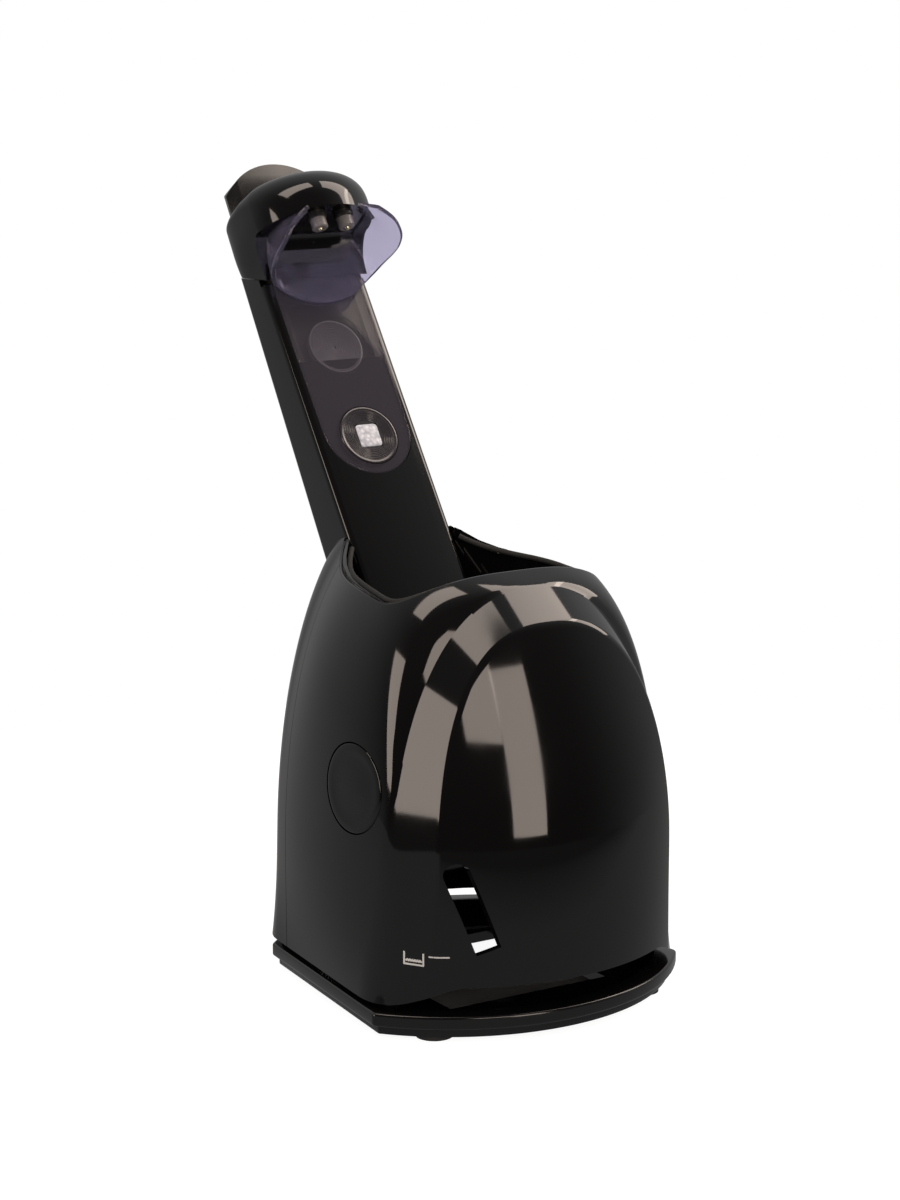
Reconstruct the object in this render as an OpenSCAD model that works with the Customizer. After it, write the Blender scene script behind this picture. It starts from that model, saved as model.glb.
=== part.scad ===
// Shaver cleaning station: a lifting housing with a wash bowl and a leaning
// contact arm, standing on a base plate that carries the fluid cartridge.
// Origin on the table under the middle of the base, +Z up, front towards -Y.

/* [Base] */
// Half width of the base plate at its front corners
base_corner_x = 59; // [54:0.5:64]
// Distance of the front corners in front of the origin
base_corner_y = 34; // [30:0.5:38]
// How far the round front edge reaches in front of the origin
base_front = 62.4; // [58:0.2:66]
// Half width of the base plate at its rear corners
base_rear_x = 50.2; // [46:0.2:54]
// Distance of the rear corners behind the origin
base_rear_y = 45.6; // [42:0.2:48]
// How far the round rear edge reaches behind the origin
base_rear = 66; // [63:0.5:70]
// Height of the base rim above the table
base_top = 9; // [8:0.5:11]
// Thickness of the rubber feet that show under the plate
foot_show = 1.5; // [1:0.1:2.5]
// Diameter of a rubber foot
foot_d = 12; // [8:0.5:16]
// Thickness of the floor of the base plate
floor_t = 2.5; // [2:0.1:4]
// Half width of the window in the base floor
window_x = 30; // [20:1:36]

/* [Housing] */
// Height of the housing's lower edge above the table
housing_foot = 11; // [10:0.5:13]
// Half width of the housing at its sides
housing_x = 52; // [48:0.5:56]
// Height of the front crease arch
crease_top = 139; // [130:0.5:146]
// Distance of the outer crease in front of the origin
crease_y = 33; // [30:0.5:36]
// Half width of the inner crease
panel_x = 44.6; // [40:0.2:47]
// Height of the inner crease
panel_top = 129; // [120:0.5:132]
// Height of the ridge where the back starts to round in
ridge_top = 154; // [148:0.5:158]
// Distance of the seam behind the origin
seam_y = 34; // [28:0.5:38]
// Wall thickness of the housing shells
wall = 2.5; // [1.8:0.1:3]

/* [Level slot] */
// Width of the slanted slot in the front
slot_w = 7.5; // [5:0.1:10]
// Length of the slot
slot_len = 26; // [16:0.5:28]
// Lean of the slot from upright
slot_lean = 20; // [0:1:25]
// Distance of the slot's lower end beside the middle
slot_x = 31.3; // [18:0.1:33]
// Height of the slot's lower end
slot_z = 33; // [31:0.5:40]

/* [Lift button] */
// Diameter of the round lift button
lift_d = 29; // [24:0.5:32]
// Height of the middle of the lift button
lift_z = 76.5; // [74:0.5:80]
// Travel of the lift button
lift_travel = 3; // [1:0.1:3.5]

/* [Bowl] */
// Half width of the bowl opening
bowl_x = 39.5; // [36:0.5:40]
// How far the bowl opening reaches to the front
bowl_front = 25; // [23:0.5:26]
// How far the bowl opening reaches to the rear
bowl_rear = 54; // [52:0.5:56]
// Height of the bowl's floor
bowl_z = 98; // [92:0.5:104]
// Wall thickness of the bowl
bowl_t = 2; // [1.5:0.1:3]

/* [Deck] */
// Height of the underside of the deck
deck_z = 62; // [60:0.5:64]
// Thickness of the deck
deck_t = 3; // [2.5:0.1:4]
// Diameter of the two guide posts
post_d = 7; // [5:0.2:8]

/* [Arm] */
// Lean of the arm from upright
arm_lean = 32; // [28:0.5:34]
// Width of the arm
arm_w = 40; // [38:0.2:42]
// Length of the arm above its reference point
arm_up = 74; // [66:0.5:80]
// Length of the arm below its reference point
arm_down = 72; // [66:0.5:76]
// Wall thickness of the arm covers
arm_wall = 2; // [1.6:0.1:2.5]
// Thickness of the smoked cover
smoke_t = 1.6; // [1.2:0.1:2]
// Diameter of the start button
start_d = 21.4; // [18:0.2:24]
// Travel of the start button
start_travel = 1; // [0.5:0.1:1.2]
// Height of the dished disc above the start button
disc_s = 35; // [31:0.5:40]
// Diameter of the dished disc
disc_d = 20; // [16:0.5:22]

/* [Head] */
// How far the hood reaches in front of the arm's reference plane
hood_front = 30.5; // [29:0.5:33]
// Height of the hood's roof above the arm's reference point
hood_top = 93.6; // [92:0.2:96]
// Wall thickness of the hood
hood_wall = 2; // [1.6:0.1:2.4]
// Wall thickness of the clear visor
visor_t = 1.4; // [1:0.1:1.8]
// Travel of the release button
release_travel = 3; // [1:0.1:3.5]
// Diameter of a contact pin
pin_d = 2; // [1.4:0.1:2.4]
// Travel of a contact pin
pin_travel = 1.2; // [0.5:0.1:1.5]

/* [Hidden] */

fit = 0.3;          // gap between pieces that don't touch
snug = 0.1;         // gap round a piece that is held
eps = 0.01;
black = "#1d1b1b";

// ---------- plan outlines ----------

front_r = (base_corner_x * base_corner_x + pow(base_front - base_corner_y, 2))
    / (2 * (base_front - base_corner_y));
rear_r = (base_rear_x * base_rear_x + pow(base_rear - base_rear_y, 2))
    / (2 * (base_rear - base_rear_y));
side_slope = (base_corner_x - base_rear_x) / (base_corner_y + base_rear_y);

// Plan of the base: two large arcs joined by straight sides that draw in to the rear
module base_plan(inset = 0) {
    intersection() {
        translate([0, front_r - base_front]) circle(r = front_r - inset, $fn = 180);
        translate([0, base_rear - rear_r]) circle(r = rear_r - inset, $fn = 180);
        polygon([
            [-base_corner_x - side_slope * 60 + inset, -base_corner_y - 60],
            [base_corner_x + side_slope * 60 - inset, -base_corner_y - 60],
            [base_rear_x - side_slope * 60 - inset, base_rear_y + 60],
            [-base_rear_x + side_slope * 60 + inset, base_rear_y + 60]
        ]);
    }
}

// Plan of the deck: follows the inside of the housing at deck height
module deck_plan(inset = 0) {
    intersection() {
        translate([0, front_r - base_front]) circle(r = front_r - wall - 4 - inset, $fn = 180);
        translate([0, base_rear - rear_r]) circle(r = rear_r - wall - 6.5 - inset, $fn = 180);
        translate([-housing_x + wall + 0.9 + inset, -base_front])
            square([2 * (housing_x - wall - 0.9 - inset), base_front + base_rear]);
    }
}

// Plan of the bowl opening: a squared oval drawn in towards the rear
bowl_mid = -6;          // the opening is widest here
function bowl_point(a, inset) = let (
        c = cos(a), s = sin(a),
        ry = (s < 0 ? bowl_front + bowl_mid : bowl_rear - bowl_mid) - inset,
        m = s < 0 ? 2.6 : 2,
        y = bowl_mid + sign(s) * ry * pow(abs(s), 2 / m))
    [sign(c) * (bowl_x - inset) * pow(abs(c), 2 / m), y];

module bowl_plan(inset = 0) {
    polygon([for (i = [0:47]) bowl_point(i * 7.5, inset)]);
}

// ---------- housing surface ----------

arch_half = 14;         // steps from a foot of an arch to its apex
foot_share = 0.2;       // share of those steps that the straight foot takes
shoulder_z = 40;        // where the round part of an arch starts
flare_z = 51;           // the sides flare out below this height
close_y = 42;           // the back starts to round in here
side_bulge = 4.6;       // how far the sides swell between the crease and the back

// Half width and height of an arch at q, from its foot (0) to its apex (1)
function arch(q, a, n, top, flare, foot) = let (
        t = max(0, 90 * (q - foot_share) / (1 - foot_share)),
        z = q < foot_share ? foot + (shoulder_z - foot) * q / foot_share
            : shoulder_z + (top - shoulder_z) * pow(sin(t), 2 / n),
        x = q < foot_share ? a : a * pow(max(0, cos(t)), 2 / n),
        f = max(0, flare_z - z) / (flare_z - housing_foot))
    [x + flare * f * f, z];

// The round front panel: y of the surface at x and z
function panel_y(x, z) = let (
        up = max(0, z - 57) / (panel_top - 57),
        down = max(0, 57 - z) / 37)
    -base_front - 1.1 + front_r - sqrt(front_r * front_r - x * x)
    + 17.5 * pow(up, 1.81) + 1.1 * down * down;

// One arch of points from the left foot to the right foot, with y from the panel
function panel_ring(k, off, foot) = [
    for (i = [0:2 * arch_half]) let (
        q = i <= arch_half ? i / arch_half : 2 - i / arch_half,
        p = arch(q, panel_x - 0.7 * off, 2.5, panel_top - off, 3, foot),
        x = k * p[0], z = foot + k * (p[1] - foot))
    [(i <= arch_half ? -x : x), panel_y(x, z) + off, z]
];

// One upright arch at y: it widens quickly behind the crease, then draws in to the rear
function side_ring(y, off, foot) = let (
        w = (y + crease_y) / (close_y + crease_y),
        u = max(0, y - close_y) / (base_rear - close_y),
        a = housing_x - 3.5 * w + 4 * side_bulge * w * (1 - w),
        n = 2.2 + 0.2 * w + 3.5 * sqrt(w) * pow(max(0, 1 - w), 1.5),
        top = crease_top + (ridge_top - crease_top) * (1 - pow(abs(1 - w), 2.6)),
        flare = base_corner_x - side_slope * (y + base_corner_y) - 0.4 - a,
        sx = pow(1 - pow(u, 2.3), 1 / 2.3),
        sz = pow(1 - pow(u, 4.4), 1 / 4.4),
        back = 0.6 * min(1, max(0, 2 - y) / 30) - u)
    [
        for (i = [0:2 * arch_half]) let (
            q = i <= arch_half ? i / arch_half : 2 - i / arch_half,
            p = arch(q, a - off, n, top - off, flare, foot),
            x = sx * p[0])
        [(i <= arch_half ? -x : x), y + back * off, foot + sz * (p[1] - foot)]
    ];

panel_steps = [0.3, 0.55, 0.75, 0.9, 1];
side_steps = [-crease_y, -31, -28, -23, -16, -8, 2, 12, 21, 30, close_y];
rear_turns = [16, 32, 47, 60, 70, 78, 85];

// The closed outer form, moved in by off and standing on foot
module housing_form(off = 0, foot = housing_foot) {
    rings = concat(
        [for (k = panel_steps) panel_ring(k, off, foot)],
        [for (y = side_steps) side_ring(y, off, foot)],
        [for (t = rear_turns) side_ring(close_y + (base_rear - close_y) * sin(t), off, foot)]
    );
    n = 2 * arch_half + 1;
    count = len(rings);
    points = concat(
        [for (r = rings) each r],
        [[0, panel_y(0, foot) + off, foot], [0, base_rear - off, foot]]
    );
    first = n * count;
    last = first + 1;
    skin = [for (j = [0:count - 2]) for (i = [0:n - 2]) each [
        [j * n + i, (j + 1) * n + i, (j + 1) * n + i + 1],
        [j * n + i, (j + 1) * n + i + 1, j * n + i + 1]
    ]];
    front_fan = [for (i = [0:n - 2]) [first, i, i + 1]];
    rear_fan = [for (i = [0:n - 2]) [last, (count - 1) * n + i + 1, (count - 1) * n + i]];
    under = concat(
        [[first, n - 1, 0]],
        [for (j = [0:count - 2]) each [
            [j * n, j * n + n - 1, (j + 1) * n + n - 1],
            [j * n, (j + 1) * n + n - 1, (j + 1) * n]
        ]],
        [[(count - 1) * n, (count - 1) * n + n - 1, last]]
    );
    polyhedron(points, concat(skin, front_fan, rear_fan, under), convexity = 6);
}

// ---------- placing ----------

arm_ref_y = 65.8;       // reference point of the arm: the middle of the start button
arm_ref_z = 172.7;
arm_taper = 0.05;       // the arm's front face closes on its back by this slope
front_n = 3.2;          // front face of the arm in front of the reference point
arm_back = 16.5;        // back of the arm behind the reference point

// Puts pieces in the arm's own frame: z runs up the arm, -y out of its front
module on_arm() {
    translate([0, arm_ref_y, arm_ref_z]) rotate([-arm_lean, 0, 0]) children();
}

// y of the arm's front face at a height along the arm
function front_y(s) = -front_n + arm_taper * s;

lift_x = 53.4;          // middle of the lift button on the left side
lift_y = -14.5;
lift_tilt = 78;         // the button's axis from upright
lift_turn = 6;          // and turned to the front

// Puts pieces on the lift button's axis: z points out of the housing
module on_lift() {
    translate([-lift_x, lift_y, lift_z]) rotate([0, -lift_tilt, lift_turn]) children();
}

module tube(d, bore, h) {
    difference() {
        cylinder(d = d, h = h, $fn = 48);
        translate([0, 0, -eps]) cylinder(d = bore, h = h + 2 * eps, $fn = 48);
    }
}

// A screw with its head up, the underside of the head at z = 0
module screw(d, head_d, len) {
    translate([0, 0, -len]) cylinder(d = d, h = len, $fn = 24);
    difference() {
        cylinder(d = head_d, h = 1.6, $fn = 32);
        translate([0, 0, 0.8]) for (a = [0, 90]) rotate(a)
            translate([-head_d * 0.35, -0.35, 0]) cube([head_d * 0.7, 0.7, 1]);
    }
}

// A round wire wound as a spring along z
module coil_spring(d, wire, len, turns) {
    steps = 8 * turns;
    sides = 6;
    rise = (len - wire) / steps;
    r = (d - wire) / 2;
    points = [for (i = [0:steps]) for (k = [0:sides - 1])
        let (a = i * 45, b = k * 60, w = wire / 2)
        [(r + w * cos(b)) * cos(a), (r + w * cos(b)) * sin(a), wire / 2 + i * rise + w * sin(b)]];
    walls = [for (i = [0:steps - 1]) for (k = [0:sides - 1]) let (m = (k + 1) % sides) each [
        [i * sides + k, (i + 1) * sides + m, (i + 1) * sides + k],
        [i * sides + k, i * sides + m, (i + 1) * sides + m]
    ]];
    caps = [for (k = [1:sides - 2]) each [
        [0, k + 1, k],
        [steps * sides, steps * sides + k, steps * sides + k + 1]
    ]];
    polyhedron(points, concat(walls, caps), convexity = 8);
}

// ---------- base ----------

rim_w = 7;              // width of the raised rim of the base
plate_z = foot_show;
floor_top = plate_z + floor_t;
foot_spots = [[-40, -40], [40, -40], [-28, 50], [28, 50]];
foot_sunk = 1;
post_x = 38;
post_y = 38;
post_top = deck_z + deck_t + 14;
boss_d = post_d + 5;
window_front = -34;
window_back = 28;
catch_x = -44;
catch_y = lift_y;

module base_plate() color(black) {
    difference() {
        union() {
            translate([0, 0, plate_z + 3]) linear_extrude(base_top - plate_z - 3) base_plan();
            translate([0, 0, plate_z]) linear_extrude(3 + eps) base_plan(2.5);
        }
        translate([0, 0, floor_top]) linear_extrude(base_top) base_plan(rim_w);
        translate([-window_x, window_front, 0])
            cube([2 * window_x, window_back - window_front, base_top]);
        for (p = foot_spots) translate([p[0], p[1], 0])
            cylinder(d = foot_d + 2 * snug, h = plate_z + foot_sunk, $fn = 48);
        for (x = [-post_x, post_x]) translate([x, post_y, 0]) {
            cylinder(d = 3.4, h = base_top, $fn = 32);
            cylinder(d = 6.4, h = plate_z + 1.2, $fn = 32);
        }
    }
    for (x = [-1, 1]) translate([x * (window_x + 3) - 1, window_front, floor_top - eps])
        cube([2, window_back - window_front, 3]);
}

module rubber_feet() color("#2b2b2b") {
    for (p = foot_spots) translate([p[0], p[1], 0])
        cylinder(d = foot_d, h = plate_z + foot_sunk, $fn = 48);
}

module guide_posts() color("silver") {
    for (x = [-post_x, post_x]) translate([x, post_y, floor_top]) difference() {
        cylinder(d = post_d, h = post_top - floor_top, $fn = 48);
        translate([0, 0, -eps]) cylinder(d = 2.5, h = 9, $fn = 32);
    }
}

module base_screws() color("gray") {
    for (x = [-post_x, post_x]) translate([x, post_y, plate_z + 1.2 - snug]) mirror([0, 0, 1])
        translate([0, 0, -snug]) screw(2.4, 6, 8);
}

spring_d = post_d + 3.4;
spring_top = deck_z - 8 - snug;

module lift_springs() color("silver") {
    for (x = [-post_x, post_x]) translate([x, post_y, floor_top + snug])
        coil_spring(spring_d, 1.1, spring_top - floor_top - 2 * snug, 7);
}

hook_z = deck_z - 9;    // underside of the latch hook

// Post on the base whose lip the latch holds
module catch_post() color(black) {
    translate([catch_x - 2, catch_y - 6, floor_top]) cube([2.5, 12, hook_z + 2 - floor_top]);
    translate([catch_x - 2, catch_y - 6, hook_z - 3 - fit]) cube([4, 12, 3]);
    translate([catch_x - 2, catch_y - 1, floor_top]) cube([8, 2, 12]);
}

// ---------- housing shells ----------

front_edge_z = 18.3;    // the front edge is raised to let the cartridge in
edge_curve = [for (i = [0:12]) let (t = i / 12)
    [58 - 22 * t, housing_foot + (front_edge_z - housing_foot) * (0.5 - 0.5 * cos(180 * t))]];

module raised_edge() {
    translate([0, -20, 0]) rotate([90, 0, 0]) linear_extrude(60) polygon(concat(
        [[58, 0]], edge_curve, [for (i = [12:-1:0]) [-edge_curve[i][0], edge_curve[i][1]]],
        [[-58, 0]]));
}

module level_slot() {
    translate([-slot_x, -base_front, slot_z]) rotate([0, -slot_lean, 0]) rotate([90, 0, 0])
        translate([0, 0, -25]) linear_extrude(40) {
            translate([-slot_w / 2, -3]) square([slot_w, slot_len + 1]);
            translate([0, slot_len - 2.5]) circle(d = slot_w, $fn = 48);
        }
}

// Space that the arm takes where it passes the shells and the bowl
module arm_path(gap) {
    on_arm() translate([-arm_w / 2 - gap, -front_n - arm_taper * arm_down - gap, -arm_down - gap])
        cube([arm_w + 2 * gap, arm_back + front_n + arm_taper * arm_down + 2 * gap, 150]);
}

socket_z = 84;
socket_w = 20;
socket_h = 12;
pin_pitch = 4.3;

module housing_shell() {
    difference() {
        housing_form();
        housing_form(wall, housing_foot - 6);
        translate([0, 0, bowl_z]) linear_extrude(100) bowl_plan();
        arm_path(0.8);
        raised_edge();
    }
}

seam_gap = 0.15;

// Boss under the deck with a web that reaches out to the wall
module lug(x, y, web_x, web_y) {
    intersection() {
        housing_form(wall - eps, housing_foot);
        translate([x, y, deck_z - 14]) difference() {
            union() {
                cylinder(d = 7, h = 14 - snug, $fn = 48);
                translate([min(0, web_x) - 1.2, min(0, web_y) - 1.2, 0])
                    cube([abs(web_x) + 2.4, abs(web_y) + 2.4, 14 - snug]);
            }
            translate([0, 0, 2]) cylinder(d = 2.8, h = 20, $fn = 32);
        }
    }
}

module front_housing() color(black) {
    difference() {
        housing_shell();
        translate([-100, seam_y - seam_gap, 0]) cube([200, 100, 200]);
        on_lift() translate([0, 0, -12]) cylinder(d = lift_d + 0.8, h = 30, $fn = 64);
        level_slot();
    }
    intersection() {
        housing_form(wall - eps, housing_foot);
        difference() {
            translate([0, 0, deck_z - 3.2]) linear_extrude(3) base_plan(2);
            translate([0, 0, deck_z - 4]) linear_extrude(5) deck_plan(3);
            translate([-100, seam_y - seam_gap, 0]) cube([200, 100, 200]);
            translate([-100, -30, 0]) cube([200, 30, 200]);
        }
    }
    for (i = [0, 1]) lug(deck_screw_spots[i][0], deck_screw_spots[i][1], (2 * i - 1) * 10, 0);
}

module rear_housing() color(black) {
    difference() {
        housing_shell();
        translate([-100, seam_y + seam_gap - 200, 0]) cube([200, 200, 200]);
        translate([-socket_w / 2 - snug, base_rear - 10, socket_z - socket_h / 2 - snug])
            cube([socket_w + 2 * snug, 20, socket_h + 2 * snug]);
    }
    for (i = [2, 3]) lug(deck_screw_spots[i][0], deck_screw_spots[i][1], 0, 20);
}

// ---------- deck ----------

mast_w = 26;
mast_y = [6.5, 12];     // front and back of the mast in the arm's frame
mast_low = -103;
mast_high = -22;
motor_x = -28;
motor_y = 18;
motor_d = 24;
pump_h = 11;
drain_x = 12;
drain_y = -8;
drain_d = 9;
deck_screw_spots = [[-41.5, -34], [41.5, -34], [-24, 46], [24, 46]];

module mast() {
    on_arm() translate([-mast_w / 2, mast_y[0], mast_low])
        cube([mast_w, mast_y[1] - mast_y[0], mast_high - mast_low]);
    translate([-mast_w / 2 - 1, 14, deck_z + deck_t - eps]) cube([mast_w + 2, 8, 24]);
}

module deck() color("#3a3838") {
    difference() {
        union() {
            translate([0, 0, deck_z]) linear_extrude(deck_t) deck_plan(1.9);
            for (x = [-post_x, post_x]) translate([x, post_y, deck_z - 8])
                cylinder(d = boss_d, h = 8 + deck_t + 8, $fn = 48);
            mast();
            for (p = board_spots) translate([p[0], p[1], deck_z + deck_t - eps])
                cylinder(d = 4.5, h = board_up, $fn = 32);
        }
        for (x = [-post_x, post_x]) translate([x, post_y, deck_z - 9])
            cylinder(d = post_d + 0.4, h = 30, $fn = 48);
        translate([motor_x, motor_y, deck_z - 1]) cylinder(d = 8, h = deck_t + 2, $fn = 48);
        for (p = board_spots) translate([p[0], p[1], deck_z + deck_t]) cylinder(d = 1.8, h = 9, $fn = 24);
        translate([drain_x, drain_y, deck_z - 1]) cylinder(d = drain_d + 2 * snug, h = 9, $fn = 48);
        for (p = deck_screw_spots) translate([p[0], p[1], deck_z - 1])
            cylinder(d = 3.2, h = deck_t + 2, $fn = 32);
        translate([supply_x, supply_y, deck_z - 1]) cylinder(d = 5.4, h = deck_t + 2, $fn = 32);
        on_lift() translate([0, 0, -guide_depth - 1]) cylinder(d = guide_d + 2 * fit, h = 40, $fn = 64);
        translate([bar_x - bar_nose - fit, latch_y - bar_w / 2 - fit, deck_z - 1])
            cube([bar_nose + bar_t + lift_travel + 2 * fit, bar_w + 2 * fit, deck_t + 2]);
        on_arm() for (s = mast_screws) translate([0, mast_y[0] - 1, s]) rotate([-90, 0, 0])
            cylinder(d = 2, h = 10, $fn = 32);
    }
}

mast_screws = [-66, -40];

module deck_screws() color("gray") {
    for (p = deck_screw_spots) translate([p[0], p[1], deck_z + deck_t + snug]) screw(2.6, 5.5, 8);
}

// ---------- bowl ----------

bowl_back = -7.8;       // back wall of the bowl in the arm's frame
collar_z = 116;

module bowl_blank(inset) {
    linear_extrude(60) bowl_plan(fit + inset);
}

module front_of_arm(gap) {
    on_arm() translate([-60, bowl_back - gap - 200, -200]) cube([120, 200, 400]);
}

module wash_bowl() color("#262424") {
    intersection() {
        housing_form(wall + fit, housing_foot);
        translate([-housing_x, -base_front, 0]) cube([2 * housing_x, base_front + bowl_rear - 4, ridge_top]);
        difference() {
            union() {
                intersection() {
                    translate([0, 0, bowl_z]) bowl_blank(0);
                    front_of_arm(0);
                }
                translate([0, 0, collar_z]) bowl_blank(0);
            }
            intersection() {
                translate([0, 0, bowl_z + bowl_t]) bowl_blank(bowl_t);
                front_of_arm(bowl_t);
            }
            translate([0, 0, collar_z + bowl_t]) bowl_blank(bowl_t);
            arm_path(0.6);
            translate([drain_x, drain_y, bowl_z - 1]) cylinder(d = 5, h = 5, $fn = 48);
            translate([supply_x, supply_y, bowl_z - 1]) cylinder(d = supply_bore, h = 5, $fn = 32);
        }
    }
    for (x = [-1, 1]) translate([x * 22, -14, deck_z + deck_t + snug])
        cylinder(d = 6, h = bowl_z - deck_z - deck_t - snug + eps, $fn = 32);
}

// Soft ring that seals the drain of the bowl to the spout
module bowl_seal() color("#444444") {
    translate([drain_x, drain_y, bowl_z - 3]) tube(drain_d + 3, 5, 3 - snug);
}

module drain_spout() color("#3a3838") {
    translate([drain_x, drain_y, 46]) tube(drain_d, 5, bowl_z - 3 - snug - 46);
    translate([drain_x, drain_y, deck_z - 3 - snug]) tube(drain_d + 6, drain_d - eps, 3);
}

// ---------- lift button and latch ----------

latch_y = catch_y;
guide_d = lift_d + 3.4;
guide_depth = 13;       // the button's guide reaches this far in from the wall
guide_floor = 1.6;
button_back = 5;
stem_d = 3.4;
stem_end = guide_depth + 1.2;
bar_x = stem_d / 2 * cos(lift_tilt) + fit - lift_x
    + stem_end * sin(lift_tilt) * cos(lift_turn);   // outer face of the latch bar
bar_t = 2;
bar_w = 10;
bar_nose = bar_x - catch_x - 2 - fit;
cover_x = bar_x + bar_t + lift_travel + 5.5;

module lift_button() color("#211f1f") {
    on_lift() {
        difference() {
            translate([0, 0, -button_back]) cylinder(d = lift_d, h = button_back + 0.6, $fn = 64);
            translate([0, 0, 90 - 0.5]) sphere(r = 90, $fn = 96);
            translate([0, 0, -button_back - eps]) tube(9.4, stem_d - eps, 2);
        }
        translate([0, 0, -stem_end]) cylinder(d = stem_d, h = stem_end - 1.4, $fn = 32);
    }
}

// Cup behind the wall that the button slides in
module lift_button_guide() color("#3a3838") {
    intersection() {
        on_lift() translate([0, 0, -guide_depth]) difference() {
            cylinder(d = guide_d, h = guide_depth, $fn = 64);
            translate([0, 0, guide_floor]) cylinder(d = lift_d + 0.8, h = guide_depth, $fn = 64);
            translate([0, 0, -1]) cylinder(d = stem_d + 0.4, h = 4, $fn = 32);
        }
        housing_form(wall + snug, housing_foot);
        translate([-housing_x, -base_front, 0]) cube([housing_x + bar_x - 0.5 - fit, base_front, lift_z * 2]);
    }
}

module lift_button_spring() color("silver") {
    on_lift() translate([0, 0, guide_floor - guide_depth + snug])
        coil_spring(8.4, 0.9, guide_depth - guide_floor - button_back + 2 - 2 * snug, 4);
}

// Hooked bar that the button's stem pushes inwards, clear of the lip of the catch
module latch_bar() color("silver") {
    translate([bar_x, latch_y - bar_w / 2, hook_z - 6]) cube([bar_t, bar_w, lift_z + 12 - hook_z]);
    translate([bar_x - bar_nose, latch_y - bar_w / 2, hook_z - 6]) cube([bar_nose + eps, bar_w, 2.4]);
    translate([bar_x + bar_t - eps, latch_y, lift_z]) rotate([0, 90, 0]) cylinder(d = 2.6, h = 1.6, $fn = 32);
}

module latch_spring() color("silver") {
    translate([bar_x + bar_t + snug, latch_y, lift_z]) rotate([0, 90, 0])
        coil_spring(5, 0.6, cover_x - bar_x - bar_t - 2 * snug, 4);
}

// Cover that keeps the latch bar upright on the deck
module latch_cover() color("#3a3838") {
    translate([cover_x, latch_y - bar_w / 2 - 2.3, deck_z + deck_t + snug])
        cube([1.8, bar_w + 4.6, lift_z + 5 - deck_z - deck_t]);
    for (y = [latch_y - bar_w / 2 - 2.3, latch_y + bar_w / 2 + fit])
        translate([bar_x - 0.5, y, deck_z + deck_t + snug])
            cube([cover_x - bar_x + 0.5 + eps, 2, lift_z + 5 - deck_z - deck_t]);
}

// ---------- fluid ----------

supply_x = motor_x;
supply_y = 2.5;
supply_d = 5;
supply_bore = 3;
pump_d = 28;
rotor_d = 19;
rotor_h = 5;
shaft_d = 3;
rotor_z = deck_z - pump_h + 2.5;

module pump_motor() color("silver") {
    translate([motor_x, motor_y, deck_z + deck_t + snug]) {
        cylinder(d = motor_d, h = 25, $fn = 64);
        translate([0, 0, 25 - eps]) cylinder(d = 8, h = 2, $fn = 32);
        translate([0, 0, -deck_t]) tube(7.8, shaft_d + 0.4, deck_t + eps);
    }
}

module pump_housing() color("#3a3838") {
    difference() {
        union() {
            translate([motor_x, motor_y, deck_z - pump_h]) cylinder(d = pump_d, h = pump_h - snug, $fn = 64);
            translate([supply_x - 4, supply_y, deck_z - pump_h]) cube([8, motor_y - supply_y, 5]);
            translate([supply_x, supply_y, deck_z - pump_h]) cylinder(d = 8, h = pump_h - snug, $fn = 48);
        }
        translate([motor_x, motor_y, deck_z - pump_h + 2]) cylinder(d = rotor_d + 2, h = pump_h, $fn = 64);
        translate([motor_x, motor_y, deck_z - pump_h - 1]) cylinder(d = 4, h = 4, $fn = 32);
        translate([supply_x, supply_y, deck_z - pump_h + 2]) cylinder(d = supply_bore, h = pump_h, $fn = 32);
        translate([supply_x, motor_y, deck_z - pump_h + 3.5]) rotate([90, 0, 0])
            cylinder(d = 2.4, h = motor_y - supply_y, $fn = 32);
    }
}

// Paddle wheel on the motor's shaft
module pump_impeller() color("white") {
    translate([motor_x, motor_y, rotor_z]) {
        cylinder(d = 7, h = rotor_h, $fn = 48);
        cylinder(d = rotor_d, h = 1, $fn = 64);
        for (a = [0:60:300]) rotate(a) translate([2, -0.5, 0.5]) cube([rotor_d / 2 - 2.6, 1, rotor_h - 1]);
        cylinder(d = shaft_d, h = deck_z + deck_t - rotor_z, $fn = 32);
    }
}

module suction_tube() color("gainsboro") {
    translate([motor_x, motor_y, 16]) tube(7, 4, deck_z - pump_h - 16 - snug);
}

module supply_tube() color("gainsboro") {
    translate([supply_x, supply_y, deck_z]) tube(supply_d, supply_bore, bowl_z - deck_z - snug);
}

// ---------- electrics ----------

board_up = 3;
board_x = [-14, 18];
board_y = [26, 50];
board_spots = [for (x = [board_x[0] + 3, board_x[1] - 3]) for (y = [board_y[0] + 3, board_y[1] - 3]) [x, y]];
board_z = deck_z + deck_t + board_up + snug;
board_t = 1.6;

module transformer() color("dimgray") {
    translate([20, -2, deck_z + deck_t + snug]) {
        translate([0, 4, 0]) cube([26, 18, 26]);
        translate([4, 0, 4]) cube([18, 26, 18]);
    }
}

module main_board() color("darkgreen") {
    translate([board_x[0], board_y[0], board_z]) difference() {
        cube([board_x[1] - board_x[0], board_y[1] - board_y[0], board_t]);
        for (p = board_spots) translate([p[0] - board_x[0], p[1] - board_y[0], -1])
            cylinder(d = 2.2, h = 4, $fn = 24);
    }
    translate([-9.6, 38, board_z + board_t - eps]) cylinder(d = 8, h = 13, $fn = 48);
    translate([2, 34, board_z + board_t - eps]) cube([8, 8, 3]);
    translate([cable_x - 1, board_y[0] + 1.5, board_z + board_t - eps]) cube([cable_w + 2, 4, 5]);
}

module board_screws() color("gray") {
    for (p = board_spots) translate([p[0], p[1], board_z + board_t + snug]) screw(1.6, 3.6, 4.3);
}

socket_back = 14;

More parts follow.
